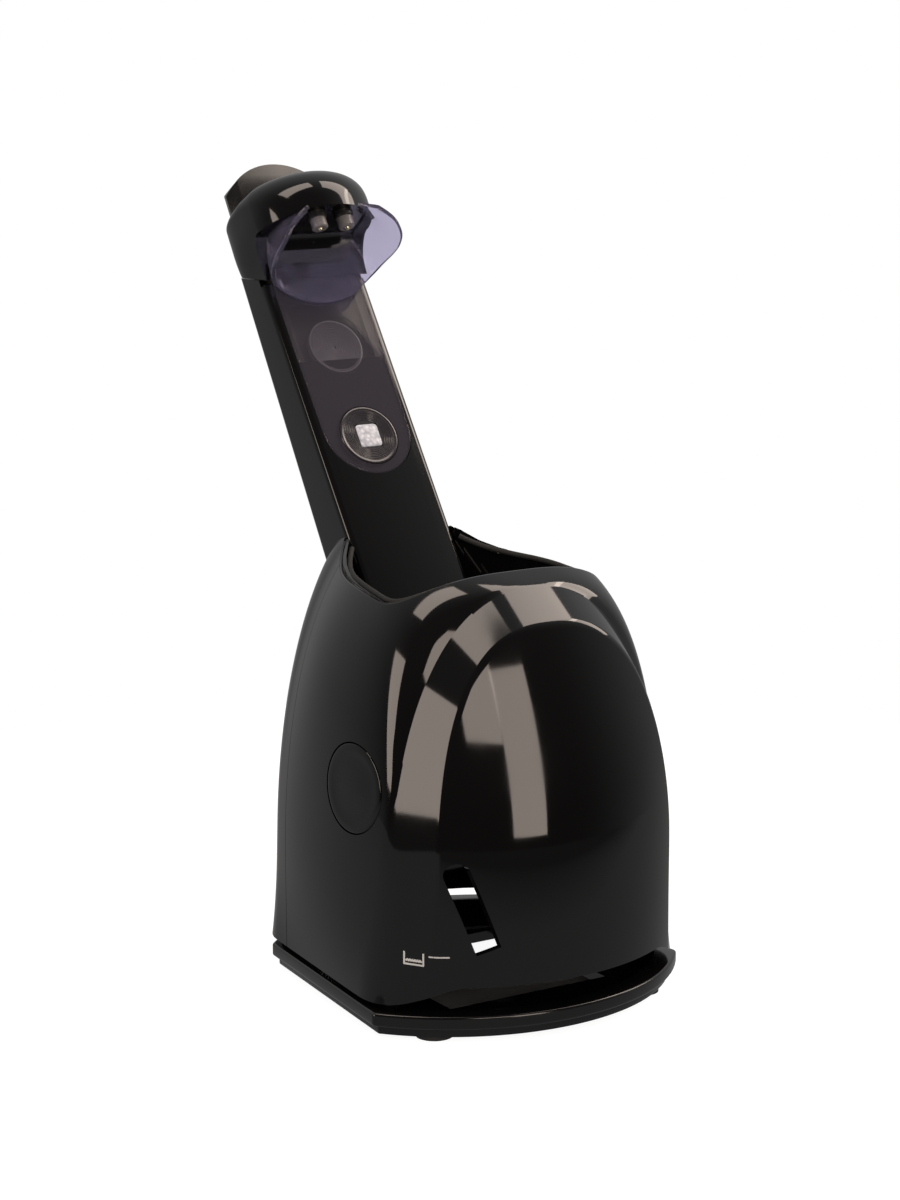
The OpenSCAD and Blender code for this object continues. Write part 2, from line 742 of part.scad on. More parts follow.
// Inlet for the supply lead, set into the rear wall
module power_socket() color("#151414") {
    y = base_rear - 0.8;
    translate([0, y, socket_z]) difference() {
        translate([-socket_w / 2, -socket_back, -socket_h / 2]) cube([socket_w, socket_back, socket_h]);
        for (x = [-pin_pitch, pin_pitch]) translate([x, 1, 0]) rotate([90, 0, 0]) {
            cylinder(d = 8, h = 11, $fn = 48);
            cylinder(d = 2.4, h = 20, $fn = 32);
        }
        translate([-pin_pitch, -10, -4]) cube([2 * pin_pitch, 12, 8]);
    }
    translate([-4, board_y[1] - 4, board_z + board_t + snug]) cube([8, 4, 6]);
    translate([-4, y - socket_back - 3, board_z + board_t + snug]) cube([8, 3 + eps, socket_z - board_z - 4]);
    translate([-4, board_y[1] - 4, board_z + board_t + snug])
        cube([8, y - socket_back - board_y[1] + 4, 2]);
}

module socket_pins() color("gold") {
    for (x = [-pin_pitch, pin_pitch]) translate([x, base_rear - 3, socket_z]) rotate([90, 0, 0])
        cylinder(d = 2.2, h = 11.5, $fn = 32);
}

// ---------- arm ----------

face_tilt = atan(arm_taper);
face_in = 0.3;          // the front cover lies this far behind the edges of the arm
panel_w = arm_w - 2 * arm_wall - 1.1;
pocket_d = 4.2;
pocket_x = 14;
panel_t = 5.8;
apron_t = 3.4;          // thickness of the plain lower front, which caps the arm's edges
apron_top = 2;
smoke_low = 16.6;       // half width of the smoked cover at its round lower end
smoke_high = 17;        // and at its upper end
smoke_round_s = 2.4;
joint_low = 60.6;       // the joint under the hood rises from front to back
joint_rise = 0.58;

// Puts pieces on the front cover at a height along the arm: z points out, y up the arm
module on_face(s) {
    on_arm() translate([0, front_y(s) + face_in, s]) rotate([90 - face_tilt, 0, 0]) children();
}

module round_back(w, y0, y1, r) {
    translate([-w / 2, y0]) square([w, y1 - r - y0]);
    translate([-w / 2 + r, y0]) square([w - 2 * r, y1 - y0]);
    for (x = [-1, 1]) translate([x * (w / 2 - r), y1 - r]) circle(r = r, $fn = 48);
}

// y of the front edges of the arm's side walls
function side_y(s) = front_y(s) + face_in + apron_t + 0.2;

module arm_form(inset, low, high) {
    intersection() {
        translate([0, 0, low]) linear_extrude(high - low)
            round_back(arm_w - 2 * inset, -20, arm_back - inset, 3 - inset);
        rotate([90, 0, 90]) translate([0, 0, -50]) linear_extrude(100) polygon([
            [side_y(-arm_down), -arm_down],
            [30, -arm_down],
            [30, joint_low + 30 * joint_rise],
            [side_y(joint_low), joint_low + side_y(joint_low) * joint_rise]
        ]);
    }
}

shelf_s = 64;

module arm_rear_cover() color(black) {
    on_arm() difference() {
        union() {
            difference() {
                arm_form(0, -arm_down, arm_up + 20);
                translate([0, 0, -arm_down - 1]) linear_extrude(200)
                    round_back(arm_w - 2 * arm_wall, -30, arm_back - arm_wall, 1);
            }
            translate([-arm_w / 2 + 1, 9.4, shelf_s]) cube([arm_w - 2, arm_back - 10.4, 1.6]);
        }
        for (s = concat(mast_screws, [cover_screw])) translate([0, 0, s]) rotate([-90, 0, 0]) {
            cylinder(d = 3, h = 20, $fn = 32);
            translate([0, 0, arm_back - 1]) cylinder(d = 6, h = 3, $fn = 32);
        }
        translate([-6, arm_back - arm_wall - 1.2, shelf_s - 1]) cube([12, 1.4, 4]);
    }
}

cover_screw = 54;

module smoke_outline(grow) {
    r = smoke_low + grow;
    translate([0, smoke_round_s]) circle(r = r, $fn = 96);
    polygon([
        [-r, smoke_round_s], [r, smoke_round_s],
        [smoke_high + grow, 30], [smoke_high + grow, arm_up - 2 + grow],
        [-smoke_high - grow, arm_up - 2 + grow], [-smoke_high - grow, 30]
    ]);
}

module arm_front_cover() color(black) {
    on_face(0) difference() {
        union() {
            translate([-panel_w / 2, -arm_down + 0.3, -panel_t])
                cube([panel_w, arm_down + arm_up - 1, panel_t - smoke_t - snug]);
            translate([-arm_w / 2, -arm_down + 0.3, -apron_t])
                cube([arm_w, arm_down + apron_top, apron_t]);
        }
        translate([0, 0, -smoke_t - snug]) linear_extrude(10) smoke_outline(0.3);
        translate([0, 0, -pocket_d]) cylinder(r = pocket_x, h = 10, $fn = 96);
        translate([-pocket_x, 0, -pocket_d]) cube([2 * pocket_x, arm_up - 4, 10]);
        translate([0, 0, -10]) cylinder(d = 7, h = 10, $fn = 48);
        translate([-4, 10, -10]) cube([8, 8, 10]);
    }
    on_arm() translate([0, front_y(cover_screw) + face_in + panel_t - 0.5, cover_screw]) rotate([-90, 0, 0])
        tube(5.4, 2, arm_back - arm_wall - fit - front_y(cover_screw) - face_in - panel_t + 0.5);
    for (y = [-10, 46]) on_face(0) for (x = [-12, 12]) translate([x, y, -panel_t - 2.2])
        cylinder(d = 4, h = 2.2 + eps, $fn = 32);
}

module arm_screws() color("gray") {
    for (s = mast_screws) on_arm() translate([0, arm_back - 1 + snug, s]) rotate([-90, 0, 0])
        screw(1.9, 5.4, 7);
    on_arm() translate([0, arm_back - 1 + snug, cover_screw]) rotate([-90, 0, 0]) screw(1.9, 5.4, 6);
}

module smoked_cover() color("dimgray", 0.6) {
    on_face(0) difference() {
        translate([0, 0, -smoke_t]) linear_extrude(smoke_t) smoke_outline(0);
        translate([0, 0, -5]) cylinder(d = start_d + 0.6, h = 10, $fn = 64);
    }
    on_face(0) for (x = [-12, 12]) translate([x, 20, -pocket_d + snug])
        cylinder(d = 3, h = pocket_d - smoke_t - snug + eps, $fn = 32);
}

// Dished disc with fine turned rings, under the smoked cover
module indicator_disc() color("slategray") {
    on_face(disc_s) translate([0, 0, -pocket_d + snug]) difference() {
        cylinder(d = disc_d, h = 2.2, $fn = 64);
        translate([0, 0, 41.4]) sphere(r = 40, $fn = 96);
    }
}

display_z = -panel_t - 2.2 - snug;
press_z = display_z + 1.6 + start_travel + snug;

module start_button() color("#2c2a2c") {
    on_face(0) difference() {
        union() {
            translate([0, 0, -2.6]) cylinder(d = start_d, h = 3, $fn = 64);
            translate([0, 0, press_z]) cylinder(d = 6.4, h = -2 - press_z, $fn = 48);
        }
        translate([0, 0, 59.4]) sphere(r = 60, $fn = 96);
        translate([-lamp_w / 2 - 0.05, -lamp_w / 2 - 0.05, -1.7]) cube([lamp_w + 0.1, lamp_w + 0.1, 5]);
    }
}

lamp_w = 9.6;

module light_window() color("white", 0.8) {
    on_face(0) translate([-lamp_w / 2, -lamp_w / 2, -1.7 + 0.02]) cube([lamp_w, lamp_w, 1.1]);
}

module display_board() color("darkgreen") {
    on_face(0) translate([-16, -13, display_z - board_t]) cube([32, 62, board_t]);
    on_face(0) translate([cable_x - 1, -12.5, display_z - board_t - 5]) cube([cable_w + 2, 4, 5 + eps]);
}

module start_switch() color("silver") {
    on_face(0) {
        translate([-3, -3, display_z + 0.02]) cube([6, 6, 1.2]);
        translate([0, 0, display_z + 1.2]) cylinder(d = 3, h = 0.4, $fn = 32);
    }
}

cable_y = mast_y[1] + 0.3;
cable_x = 3;
cable_w = 9;

// Flat lead that runs up the arm behind the mast
module arm_cable() color("gray") {
    on_arm() translate([cable_x, cable_y, -89.6]) cube([cable_w, 0.9, 89.6 - 8.5]);
    translate([cable_x + 0.5, 28.7, board_z + board_t + 5 + snug]) cube([cable_w - 1, 1, 15.7]);
}

// ---------- head ----------

hood_mid = 8;           // the hood is widest this far in front of the arm's plane
hood_side = arm_w / 2;
lip_s = 74.8;
rim_front = 76.5;
rim_back = 86;

function hood_rim(y) = let (t = min(1, max(0, (25 + y) / 25)))
    rim_front + (rim_back - rim_front) * t * t * (3 - 2 * t);

function hood_point(a, k, off, level) = let (
        c = cos(a), s = sin(a),
        m = s < 0 ? 2 : 5,
        reach = (s < 0 ? hood_front - hood_mid : arm_back + hood_mid) - off,
        x = k * (hood_side - off) * sign(c) * pow(abs(c), 2 / m),
        y = -hood_mid + k * reach * sign(s) * pow(abs(s), 2 / m),
        roof = hood_top - 0.006 * (y + 6) * (y + 6) - off,
        rim = hood_rim(y))
    [x, y, level != undef ? level : rim + (roof - rim) * pow(max(0, 1 - pow(k, 3)), 1 / 3)];

hood_steps = [1, 0.985, 0.95, 0.88, 0.78, 0.62, 0.42, 0.2];

module hood_form(off, low) {
    n = 48;
    rings = concat(
        [[for (i = [0:n - 1]) hood_point(i * 360 / n, 1, off, low)]],
        [for (k = hood_steps) [for (i = [0:n - 1]) hood_point(i * 360 / n, k, off, undef)]]);
    count = len(rings);
    top = n * count;
    polyhedron(
        concat([for (r = rings) each r], [hood_point(0, 0, off, undef)]),
        concat(
            [[for (i = [0:n - 1]) i]],
            [for (j = [0:count - 2]) for (i = [0:n - 1]) let (m = (i + 1) % n) each [
                [j * n + i, (j + 1) * n + i, (j + 1) * n + m],
                [j * n + i, (j + 1) * n + m, j * n + m]
            ]],
            [for (i = [0:n - 1]) [(count - 1) * n + i, top, (count - 1) * n + (i + 1) % n]]),
        convexity = 6);
}

// Everything under the hood's edge: the lip in front and the slanted joint behind
module under_hood() {
    rotate([90, 0, 90]) translate([0, 0, -50]) linear_extrude(100) polygon([
        [-60, 40], [-60, lip_s], [-6.6, lip_s], [-4.9, lip_s - 0.8], [-3.3, lip_s - 2.8],
        [-2.1, lip_s - 5.4], [-1.2, lip_s - 8.4], [-0.9, lip_s - 12],
        [-0.9, joint_low + 0.3 - 0.9 * joint_rise],
        [30, joint_low + 0.3 + 30 * joint_rise], [30, 40]
    ]);
}

release_low = 86;
release_top = 107.8;
release_r = 23.5;

module release_plan(grow) {
    polygon([
        [-13 - grow, arm_back - 0.2 + 6 * grow], [-17 - grow, arm_back - 2 + grow], [-19 - grow, 10],
        [-15.2 - grow, 6 - grow], [15.2 + grow, 6 - grow], [19 + grow, 10],
        [17 + grow, arm_back - 2 + grow], [13 + grow, arm_back - 0.2 + 6 * grow]
    ]);
}

module hood() color(black) {
    on_arm() difference() {
        hood_form(0, 50);
        hood_form(hood_wall, 45);
        under_hood();
        translate([0, 0, release_low - release_travel - 0.6]) linear_extrude(40) release_plan(0.4);
    }
}

module release_button() color(black) {
    on_arm() {
        intersection() {
            translate([0, 0, release_low]) linear_extrude(40) release_plan(0);
            translate([0, 25, release_top - release_r]) rotate([90, 0, 0])
                cylinder(r = release_r, h = 40, $fn = 128);
        }
        translate([0, 11, shelf_s + 8]) cylinder(d = 4, h = release_low - shelf_s - 8 + eps, $fn = 32);
    }
}

module release_spring() color("silver") {
    on_arm() translate([0, 11, shelf_s + 1.6 + snug])
        coil_spring(6, 0.8, release_low - shelf_s - 1.6 - 2 * snug, 9);
}

boss_x = 5.2;
boss_y = -20;
boss_low = 69.5;
block_low = 76.8;
block_high = 83.5;
spring_bore = 5.8;

module contact_block() color("#4a4848") {
    on_arm() difference() {
        union() {
            translate([-9.5, boss_y - 3, block_low]) cube([19, 9, block_high - block_low]);
            for (x = [-boss_x, boss_x]) translate([x, boss_y, boss_low])
                cylinder(d = 7, h = block_low - boss_low + eps, $fn = 48);
            for (x = [-6, 6]) translate([x, boss_y + 4, block_high - eps])
                cylinder(d = 5, h = 4.9, $fn = 32);
        }
        for (x = [-boss_x, boss_x]) translate([x, boss_y, 0]) {
            translate([0, 0, boss_low - 1]) cylinder(d = pin_d + 0.2, h = 10, $fn = 32);
            translate([0, 0, block_low]) cylinder(d = 4.2, h = spring_bore, $fn = 32);
        }
    }
}

module contact_pin(x) color("gold") {
    on_arm() translate([x, boss_y, 0]) {
        translate([0, 0, boss_low - 2]) cylinder(d = pin_d, h = block_low - boss_low + 3, $fn = 32);
        translate([0, 0, block_low + snug]) cylinder(d = 3.8, h = 0.9, $fn = 32);
    }
}

module left_contact_pin() { contact_pin(-boss_x); }
module right_contact_pin() { contact_pin(boss_x); }

module contact_springs() color("silver") {
    for (x = [-boss_x, boss_x]) on_arm() translate([x, boss_y, block_low + 1 + 2 * snug])
        coil_spring(3.6, 0.45, spring_bore - 1 - 3 * snug, 4);
}

// Half of the visor's lower edge: x, distance in front of the arm's plane, height
visor_low = [
    [0, 2.5, 50.6], [6, 2.5, 52.2], [11.5, 2.5, 54.6], [15, 2.8, 56], [17.4, 3.4, 57.2],
    [19, 5.2, 58.4], [20.7, 9.8, 59.5], [22.2, 15.6, 60.2], [22.7, 20, 61], [22, 24.4, 62.8],
    [20, 27, 66], [17.2, 28, 68.6], [13.5, 28.4, 71.3]
];
// Half of its upper edge, inside the hood: x and distance in front of the arm's plane
visor_high = [
    [0, 2.5], [5.6, 2.5], [10.6, 2.5], [13.4, 2.8], [14.9, 3.4],
    [15.2, 5.2], [15, 9.8], [14.1, 15], [12.4, 18], [10.3, 20],
    [8.8, 21.2], [8.3, 22.2], [8, 23.2]
];
visor_top = 75.6;

function side_of(a, b) = let (d = b - a, l = norm([d[0], d[1]])) [-d[1] / l, d[0] / l];
function visor_edge(i, half) = half[min(len(half) - 1, abs(i))];

// Clear guard that goes from the arm round both sides of the head
module visor() color("lavender", 0.4) {
    n = len(visor_low) - 1;
    outer = [for (h = [0, 1]) [for (i = [-n:n]) let (
        p = visor_edge(i, visor_low), q = visor_edge(i, visor_high), g = sign(i))
        h == 0 ? [i < 0 ? -p[0] : p[0], -p[1], p[2]] : [i < 0 ? -q[0] : q[0], -q[1], visor_top]]];
    count = 2 * n + 1;
    inner = [for (r = outer) [for (i = [0:count - 1]) let (
        v = side_of(r[max(0, i - 1)], r[min(count - 1, i + 1)]))
        [r[i][0] + visor_t * v[0], r[i][1] + visor_t * v[1], r[i][2]]]];
    points = concat(outer[0], outer[1], inner[0], inner[1]);
    strips = [for (i = [0:count - 2]) each [
        [i, count + i + 1, i + 1], [i, count + i, count + i + 1],
        [2 * count + i, 2 * count + i + 1, 3 * count + i + 1],
        [2 * count + i, 3 * count + i + 1, 3 * count + i],
        [i, i + 1, 2 * count + i + 1], [i, 2 * count + i + 1, 2 * count + i],
        [count + i, 3 * count + i + 1, count + i + 1], [count + i, 3 * count + i, 3 * count + i + 1]
    ]];
    ends = [
        [0, 3 * count, count], [0, 2 * count, 3 * count],
        [count - 1, 4 * count - 1, 3 * count - 1], [count - 1, 2 * count - 1, 4 * count - 1]
    ];
    on_arm() polyhedron(points, concat(strips, ends), convexity = 8);
}

base_plate();
rubber_feet();
guide_posts();
lift_springs();
catch_post();
base_screws();
front_housing();
rear_housing();
deck();
deck_screws();
wash_bowl();
bowl_seal();
drain_spout();
lift_button();
lift_button_guide();
lift_button_spring();
latch_bar();
latch_spring();
latch_cover();
pump_motor();
pump_housing();
pump_impeller();
suction_tube();
supply_tube();
transformer();
main_board();
board_screws();
power_socket();
socket_pins();
arm_rear_cover();
arm_front_cover();
arm_screws();
smoked_cover();
indicator_disc();
start_button();
light_window();
display_board();
start_switch();
arm_cable();
hood();
visor();
release_button();
release_spring();
contact_block();
left_contact_pin();
right_contact_pin();
contact_springs();
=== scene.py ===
"""Looks of a table-top shaver cleaning station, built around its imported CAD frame.

Sizes are millimetres inside the classes and metres in the finished meshes. The frame has its
origin on the table under the base, +Z up, the front towards -Y and the lift button on the -X side.
"""

from __future__ import annotations

import logging
import math
from dataclasses import dataclass, field
from enum import Enum
from typing import Callable, Optional, Sequence

import bmesh
import bpy
from mathutils import Euler, Matrix, Vector
from mathutils.bvhtree import BVHTree

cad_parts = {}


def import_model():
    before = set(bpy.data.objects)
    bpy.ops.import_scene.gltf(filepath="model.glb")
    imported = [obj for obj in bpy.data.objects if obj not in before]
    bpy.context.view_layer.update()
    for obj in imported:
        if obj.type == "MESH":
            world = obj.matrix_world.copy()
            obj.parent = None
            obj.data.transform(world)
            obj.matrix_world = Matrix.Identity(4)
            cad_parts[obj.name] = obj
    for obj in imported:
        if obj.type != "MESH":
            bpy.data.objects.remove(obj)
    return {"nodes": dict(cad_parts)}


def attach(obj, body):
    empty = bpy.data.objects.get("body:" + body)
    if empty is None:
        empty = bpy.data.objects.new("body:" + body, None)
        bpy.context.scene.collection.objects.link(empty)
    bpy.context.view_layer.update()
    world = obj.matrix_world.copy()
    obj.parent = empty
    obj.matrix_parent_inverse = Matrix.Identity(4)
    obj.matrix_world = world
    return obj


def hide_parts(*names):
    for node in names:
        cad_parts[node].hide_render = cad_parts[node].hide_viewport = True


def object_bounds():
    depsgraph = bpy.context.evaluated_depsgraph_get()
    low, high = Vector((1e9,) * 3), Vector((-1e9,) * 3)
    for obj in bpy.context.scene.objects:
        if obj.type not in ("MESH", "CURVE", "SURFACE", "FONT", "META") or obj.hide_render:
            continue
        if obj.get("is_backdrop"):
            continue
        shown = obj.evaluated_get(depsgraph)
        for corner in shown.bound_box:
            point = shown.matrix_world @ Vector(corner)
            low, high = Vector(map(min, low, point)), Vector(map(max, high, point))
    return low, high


LOG = logging.getLogger("station")
MM = 0.001
FIT = 0.3


class Body(str, Enum):
    """The moving bodies that pieces ride on."""

    BASE = "base"
    STATION = "station"
    LIFT_BUTTON = "lift_button"
    START_BUTTON = "start_button"
    RELEASE_BUTTON = "release_button"
    LEFT_CONTACT = "left_contact"
    RIGHT_CONTACT = "right_contact"


class Slot(str, Enum):
    """Material slots of the record."""

    GLOSS_BLACK = "gloss_black"
    DARK = "dark_plastic"
    RUBBER = "rubber"
    STEEL = "steel"
    PALE = "pale_plastic"
    BOARD = "circuit_board"
    CONTACT = "contact_metal"
    SMOKED = "smoked_clear"
    VIOLET = "violet_clear"
    TURNED = "turned_grey"


# ---------- colour and nodes ----------


def linear(code: str) -> tuple[float, float, float, float]:
    """Turns an sRGB hex colour into linear red, green, blue and alpha.

    Args:
        code: Colour such as "#1c1a1a".

    Returns:
        The linear colour with an alpha of 1.
    """
    parts = [int(code[i : i + 2], 16) / 255 for i in (1, 3, 5)]
    red, green, blue = (p / 12.92 if p <= 0.04045 else ((p + 0.055) / 1.055) ** 2.4 for p in parts)
    return red, green, blue, 1.0


def add_node(tree: bpy.types.NodeTree, kind: str, inputs: dict, **settings: object) -> bpy.types.Node:
    """Adds a shader node with its settings and links.

    Args:
        tree: Node tree that takes the node.
        kind: Type name of the node.
        inputs: Socket name or number to a value, or to an output socket to link from.
        **settings: Attributes set on the node itself.

    Returns:
        The new node.
    """
    node = tree.nodes.new(kind)
    for name, value in settings.items():
        setattr(node, name, value)
    for key, value in inputs.items():
        if isinstance(value, bpy.types.NodeSocket):
            tree.links.new(value, node.inputs[key])
        else:
            node.inputs[key].default_value = value
    return node


@dataclass(frozen=True)
class Finish:
    """A finish that covers a whole piece.

    Attributes:
        name: Name of the material.
        slot: Slot of the record that it belongs to; not used.
        colour: sRGB hex colour.
        roughness: Roughness of the surface.
        ior: Index of refraction.
    """

    name: str
    slot: Slot
    colour: str
    roughness: float
    ior: float = 1.5

    def material(self) -> bpy.types.Material:
        """Makes the material once and then reuses it.

        Returns:
            The material.
        """
        made = bpy.data.materials.get(self.name)
        if made is not None:
            return made
        made = bpy.data.materials.new(self.name)
        made.use_nodes = True
        shader = made.node_tree.nodes["Principled BSDF"]
        shader.inputs["Base Color"].default_value = linear(self.colour)
        shader.inputs["Roughness"].default_value = self.roughness
        shader.inputs["IOR"].default_value = self.ior
        self.dress(made.node_tree, shader)
        return made

    def dress(self, tree: bpy.types.NodeTree, shader: bpy.types.Node) -> None:
        """Adds what sets this finish apart. A plain finish adds nothing."""

    def place(self, tree: bpy.types.NodeTree) -> bpy.types.NodeSocket:
        """Returns the Object coordinates, which are metres on the finished pieces."""
        return add_node(tree, "ShaderNodeTexCoord", {}).outputs["Object"]

    def speckle(self, tree: bpy.types.NodeTree, grain_mm: float, detail: float) -> bpy.types.NodeSocket:
        """Makes a noise pattern with a real grain size.

        Args:
            tree: Node tree of the material.
            grain_mm: Distance between the grains.
            detail: Octaves of finer noise.

        Returns:
            The noise value.
        """
        noise = add_node(
            tree,
            "ShaderNodeTexNoise",
            {"Vector": self.place(tree), "Scale": 1 / (grain_mm * MM), "Detail": detail},
        )
        return noise.outputs["Fac"]

    def spread(
        self, tree: bpy.types.NodeTree, value: bpy.types.NodeSocket, low: float, high: float
    ) -> bpy.types.NodeSocket:
        """Maps a noise value onto a range.

        Args:
            tree: Node tree of the material.
            value: Noise value, mostly from 0.3 to 0.7.
            low: Result for 0.3.
            high: Result for 0.7.

        Returns:
            The mapped value.
        """
        ranged = add_node(
            tree,
            "ShaderNodeMapRange",
            {"Value": value, "From Min": 0.3, "From Max": 0.7, "To Min": low, "To Max": high},
        )
        return ranged.outputs["Result"]

    def bump(
        self, tree: bpy.types.NodeTree, shader: bpy.types.Node, height: bpy.types.NodeSocket, depth_mm: float
    ) -> None:
        """Links a height pattern to the shader's normal.

        Args:
            tree: Node tree of the material.
            shader: Shader that takes the normal.
            height: Pattern from 0 to 1.
            depth_mm: Height of the pattern.
        """
        node = add_node(
            tree, "ShaderNodeBump", {"Height": height, "Strength": 1.0, "Distance": depth_mm * MM}
        )
        tree.links.new(node.outputs["Normal"], shader.inputs["Normal"])


@dataclass(frozen=True)
class PolishedAbs(Finish):
    """Injection-moulded ABS from a polished tool: mirror-like, with a trace of sink and flow.

    Attributes:
        flow_mm: Spacing of the faint waviness that softens long reflections.
        flow_depth_mm: Height of that waviness.
        haze_mm: Spacing of the patches of fine haze from handling.
    """

    flow_mm: float = 14.0
    flow_depth_mm: float = 0.004
    haze_mm: float = 22.0

    def dress(self, tree: bpy.types.NodeTree, shader: bpy.types.Node) -> None:
        """Adds the waviness and the patches of haze.

        Args:
            tree: Node tree of the material.
            shader: Shader that takes the settings.
        """
        patches = self.speckle(tree, self.haze_mm, 3.0)
        haze = self.spread(tree, patches, self.roughness * 0.7, self.roughness * 1.4)
        tree.links.new(haze, shader.inputs["Roughness"])
        self.bump(tree, shader, self.speckle(tree, self.flow_mm, 1.0), self.flow_depth_mm)


@dataclass(frozen=True)
class TexturedPlastic(Finish):
    """Moulded plastic or rubber from a spark-eroded tool: an even fine grain that scatters light.

    Attributes:
        grain_mm: Spacing of the grain, drawn coarser than real so that it shows.
        grain_depth_mm: Height of the grain.
    """

    grain_mm: float = 0.5
    grain_depth_mm: float = 0.03

    def dress(self, tree: bpy.types.NodeTree, shader: bpy.types.Node) -> None:
        """Adds the grain.

        Args:
            tree: Node tree of the material.
            shader: Shader that takes the settings.
        """
        grain = self.speckle(tree, self.grain_mm, 2.0)
        rough = self.spread(tree, grain, self.roughness * 0.85, self.roughness * 1.15)
        tree.links.new(rough, shader.inputs["Roughness"])
        self.bump(tree, shader, grain, self.grain_depth_mm)


@dataclass(frozen=True)
class DrawnMetal(Finish):
    """Drawn or turned metal: fine scratches over a bright body.

    Attributes:
        scratch_mm: Spacing of the scratches.
    """

    scratch_mm: float = 0.4

    def dress(self, tree: bpy.types.NodeTree, shader: bpy.types.Node) -> None:
        """Makes it metal and adds the scratches.

        Args:
            tree: Node tree of the material.
            shader: Shader that takes the settings.
        """
        shader.inputs["Metallic"].default_value = 1.0
        scratch = self.speckle(tree, self.scratch_mm, 4.0)
        rough = self.spread(tree, scratch, self.roughness * 0.7, self.roughness * 1.3)
        tree.links.new(rough, shader.inputs["Roughness"])


@dataclass(frozen=True)
class SmokedClear(Finish):
    """Dark-tinted acrylic over black: part of the light from below comes through.

    Attributes:
        cover: Share of what lies below that the tint hides.
    """

    cover: float = 0.5

    def dress(self, tree: bpy.types.NodeTree, shader: bpy.types.Node) -> None:
        """Sets the tint's cover and a faint flow pattern."""
        shader.inputs["Alpha"].default_value = self.cover
        self.bump(tree, shader, self.speckle(tree, 16.0, 1.0), 0.004)


@dataclass(frozen=True)
class TintedSheet(Finish):
    """Thin violet-tinted acrylic sheet: clear, bright at its edges."""

    def dress(self, tree: bpy.types.NodeTree, shader: bpy.types.Node) -> None:
        """Lets light through."""
        shader.inputs["Transmission Weight"].default_value = 0.92
        self.bump(tree, shader, self.speckle(tree, 18.0, 1.0), 0.003)


@dataclass(frozen=True)
class FrostedWindow(Finish):
    """Frosted light window whose prisms show as pale patches.

    Attributes:
        second: Colour of the darker patches.
        patch_mm: Size of a patch.
    """

    second: str = "#8f93a0"
    patch_mm: float = 1.5

    def dress(self, tree: bpy.types.NodeTree, shader: bpy.types.Node) -> None:
        """Mottles the colour and roughens the face.

        Args:
            tree: Node tree of the material.
            shader: Shader that takes the settings.
        """
        cells = add_node(
            tree, "ShaderNodeTexVoronoi", {"Vector": self.place(tree), "Scale": 1 / (self.patch_mm * MM)}
        )
        mix = add_node(
            tree,
            "ShaderNodeMix",
            {0: cells.outputs["Distance"], 6: linear(self.colour), 7: linear(self.second)},
            data_type="RGBA",
        )
        tree.links.new(mix.outputs[2], shader.inputs["Base Color"])
        self.bump(tree, shader, cells.outputs["Distance"], 0.2)


GLOSS_BLACK = PolishedAbs("polished_black_abs", Slot.GLOSS_BLACK, "#0a0909", 0.06)
RELEASE_BLACK = PolishedAbs("satin_black_abs", Slot.GLOSS_BLACK, "#100f0e", 0.24)
BASE_BLACK = PolishedAbs("base_black_abs", Slot.GLOSS_BLACK, "#0b0a0a", 0.14)
INNER_BLACK = TexturedPlastic("eroded_black_abs", Slot.DARK, "#161414", 0.45)
BOSS_GREY = TexturedPlastic("translucent_grey_pc", Slot.DARK, "#6e6a68", 0.3, grain_depth_mm=0.005)
FOOT_RUBBER = TexturedPlastic("moulded_rubber", Slot.RUBBER, "#1b1b1b", 0.75)
SPRING_STEEL = DrawnMetal("drawn_steel", Slot.STEEL, "#b9b9bb", 0.3)
CONTACT_METAL = DrawnMetal("plated_contact", Slot.CONTACT, "#d9cfae", 0.18)
PALE_PLASTIC = TexturedPlastic("natural_polyamide", Slot.PALE, "#c9c8c4", 0.4)
BOARD_GREEN = TexturedPlastic("solder_mask", Slot.BOARD, "#17402a", 0.35)
SMOKED = SmokedClear("smoked_acrylic", Slot.SMOKED, "#4c4852", 0.06, cover=0.3)
VIOLET = TintedSheet("violet_acrylic", Slot.VIOLET, "#b7b2cb", 0.0, ior=1.3)
TURNED = TexturedPlastic("turned_grey_abs", Slot.TURNED, "#6b6670", 0.24, grain_depth_mm=0.002)
START_FACE = TexturedPlastic("turned_black_abs", Slot.GLOSS_BLACK, "#2b282c", 0.2, grain_depth_mm=0.002)
WINDOW = FrostedWindow("frosted_window", Slot.PALE, "#dfe0e6", 0.35)
PRINT = TexturedPlastic("pad_printed_grey", Slot.PALE, "#c6c4c2", 0.5, grain_depth_mm=0.002)

CAD_FINISHES: dict[Finish, str] = {
    FOOT_RUBBER: "rubber_feet bowl_seal",
    SPRING_STEEL: (
        "guide_posts lift_springs base_screws deck_screws lift_button_spring latch_bar "
        "latch_spring pump_motor transformer board_screws arm_screws start_switch "
        "release_spring contact_springs"
    ),
    INNER_BLACK: "catch_post deck drain_spout lift_button_guide latch_cover pump_housing power_socket",
    GLOSS_BLACK: "wash_bowl",
    PALE_PLASTIC: "pump_impeller suction_tube supply_tube arm_cable",
    BOARD_GREEN: "main_board display_board",
    CONTACT_METAL: "socket_pins",
    WINDOW: "light_window",
}

# ---------- shaping ----------


def block(low: Sequence[float], high: Sequence[float]) -> bmesh.types.BMesh:
    """Makes a box from its lowest and highest corners.

    Args:
        low: Lowest corner or height.
        high: Highest corner or height.

    Returns:
        The closed box.
    """
    shape = bmesh.new()
    bmesh.ops.create_cube(shape, size=1.0)
    size = [b - a for a, b in zip(low, high)]
    middle = [(a + b) / 2 for a, b in zip(low, high)]
    bmesh.ops.scale(shape, vec=size, verts=shape.verts)
    bmesh.ops.translate(shape, vec=middle, verts=shape.verts)
    return shape


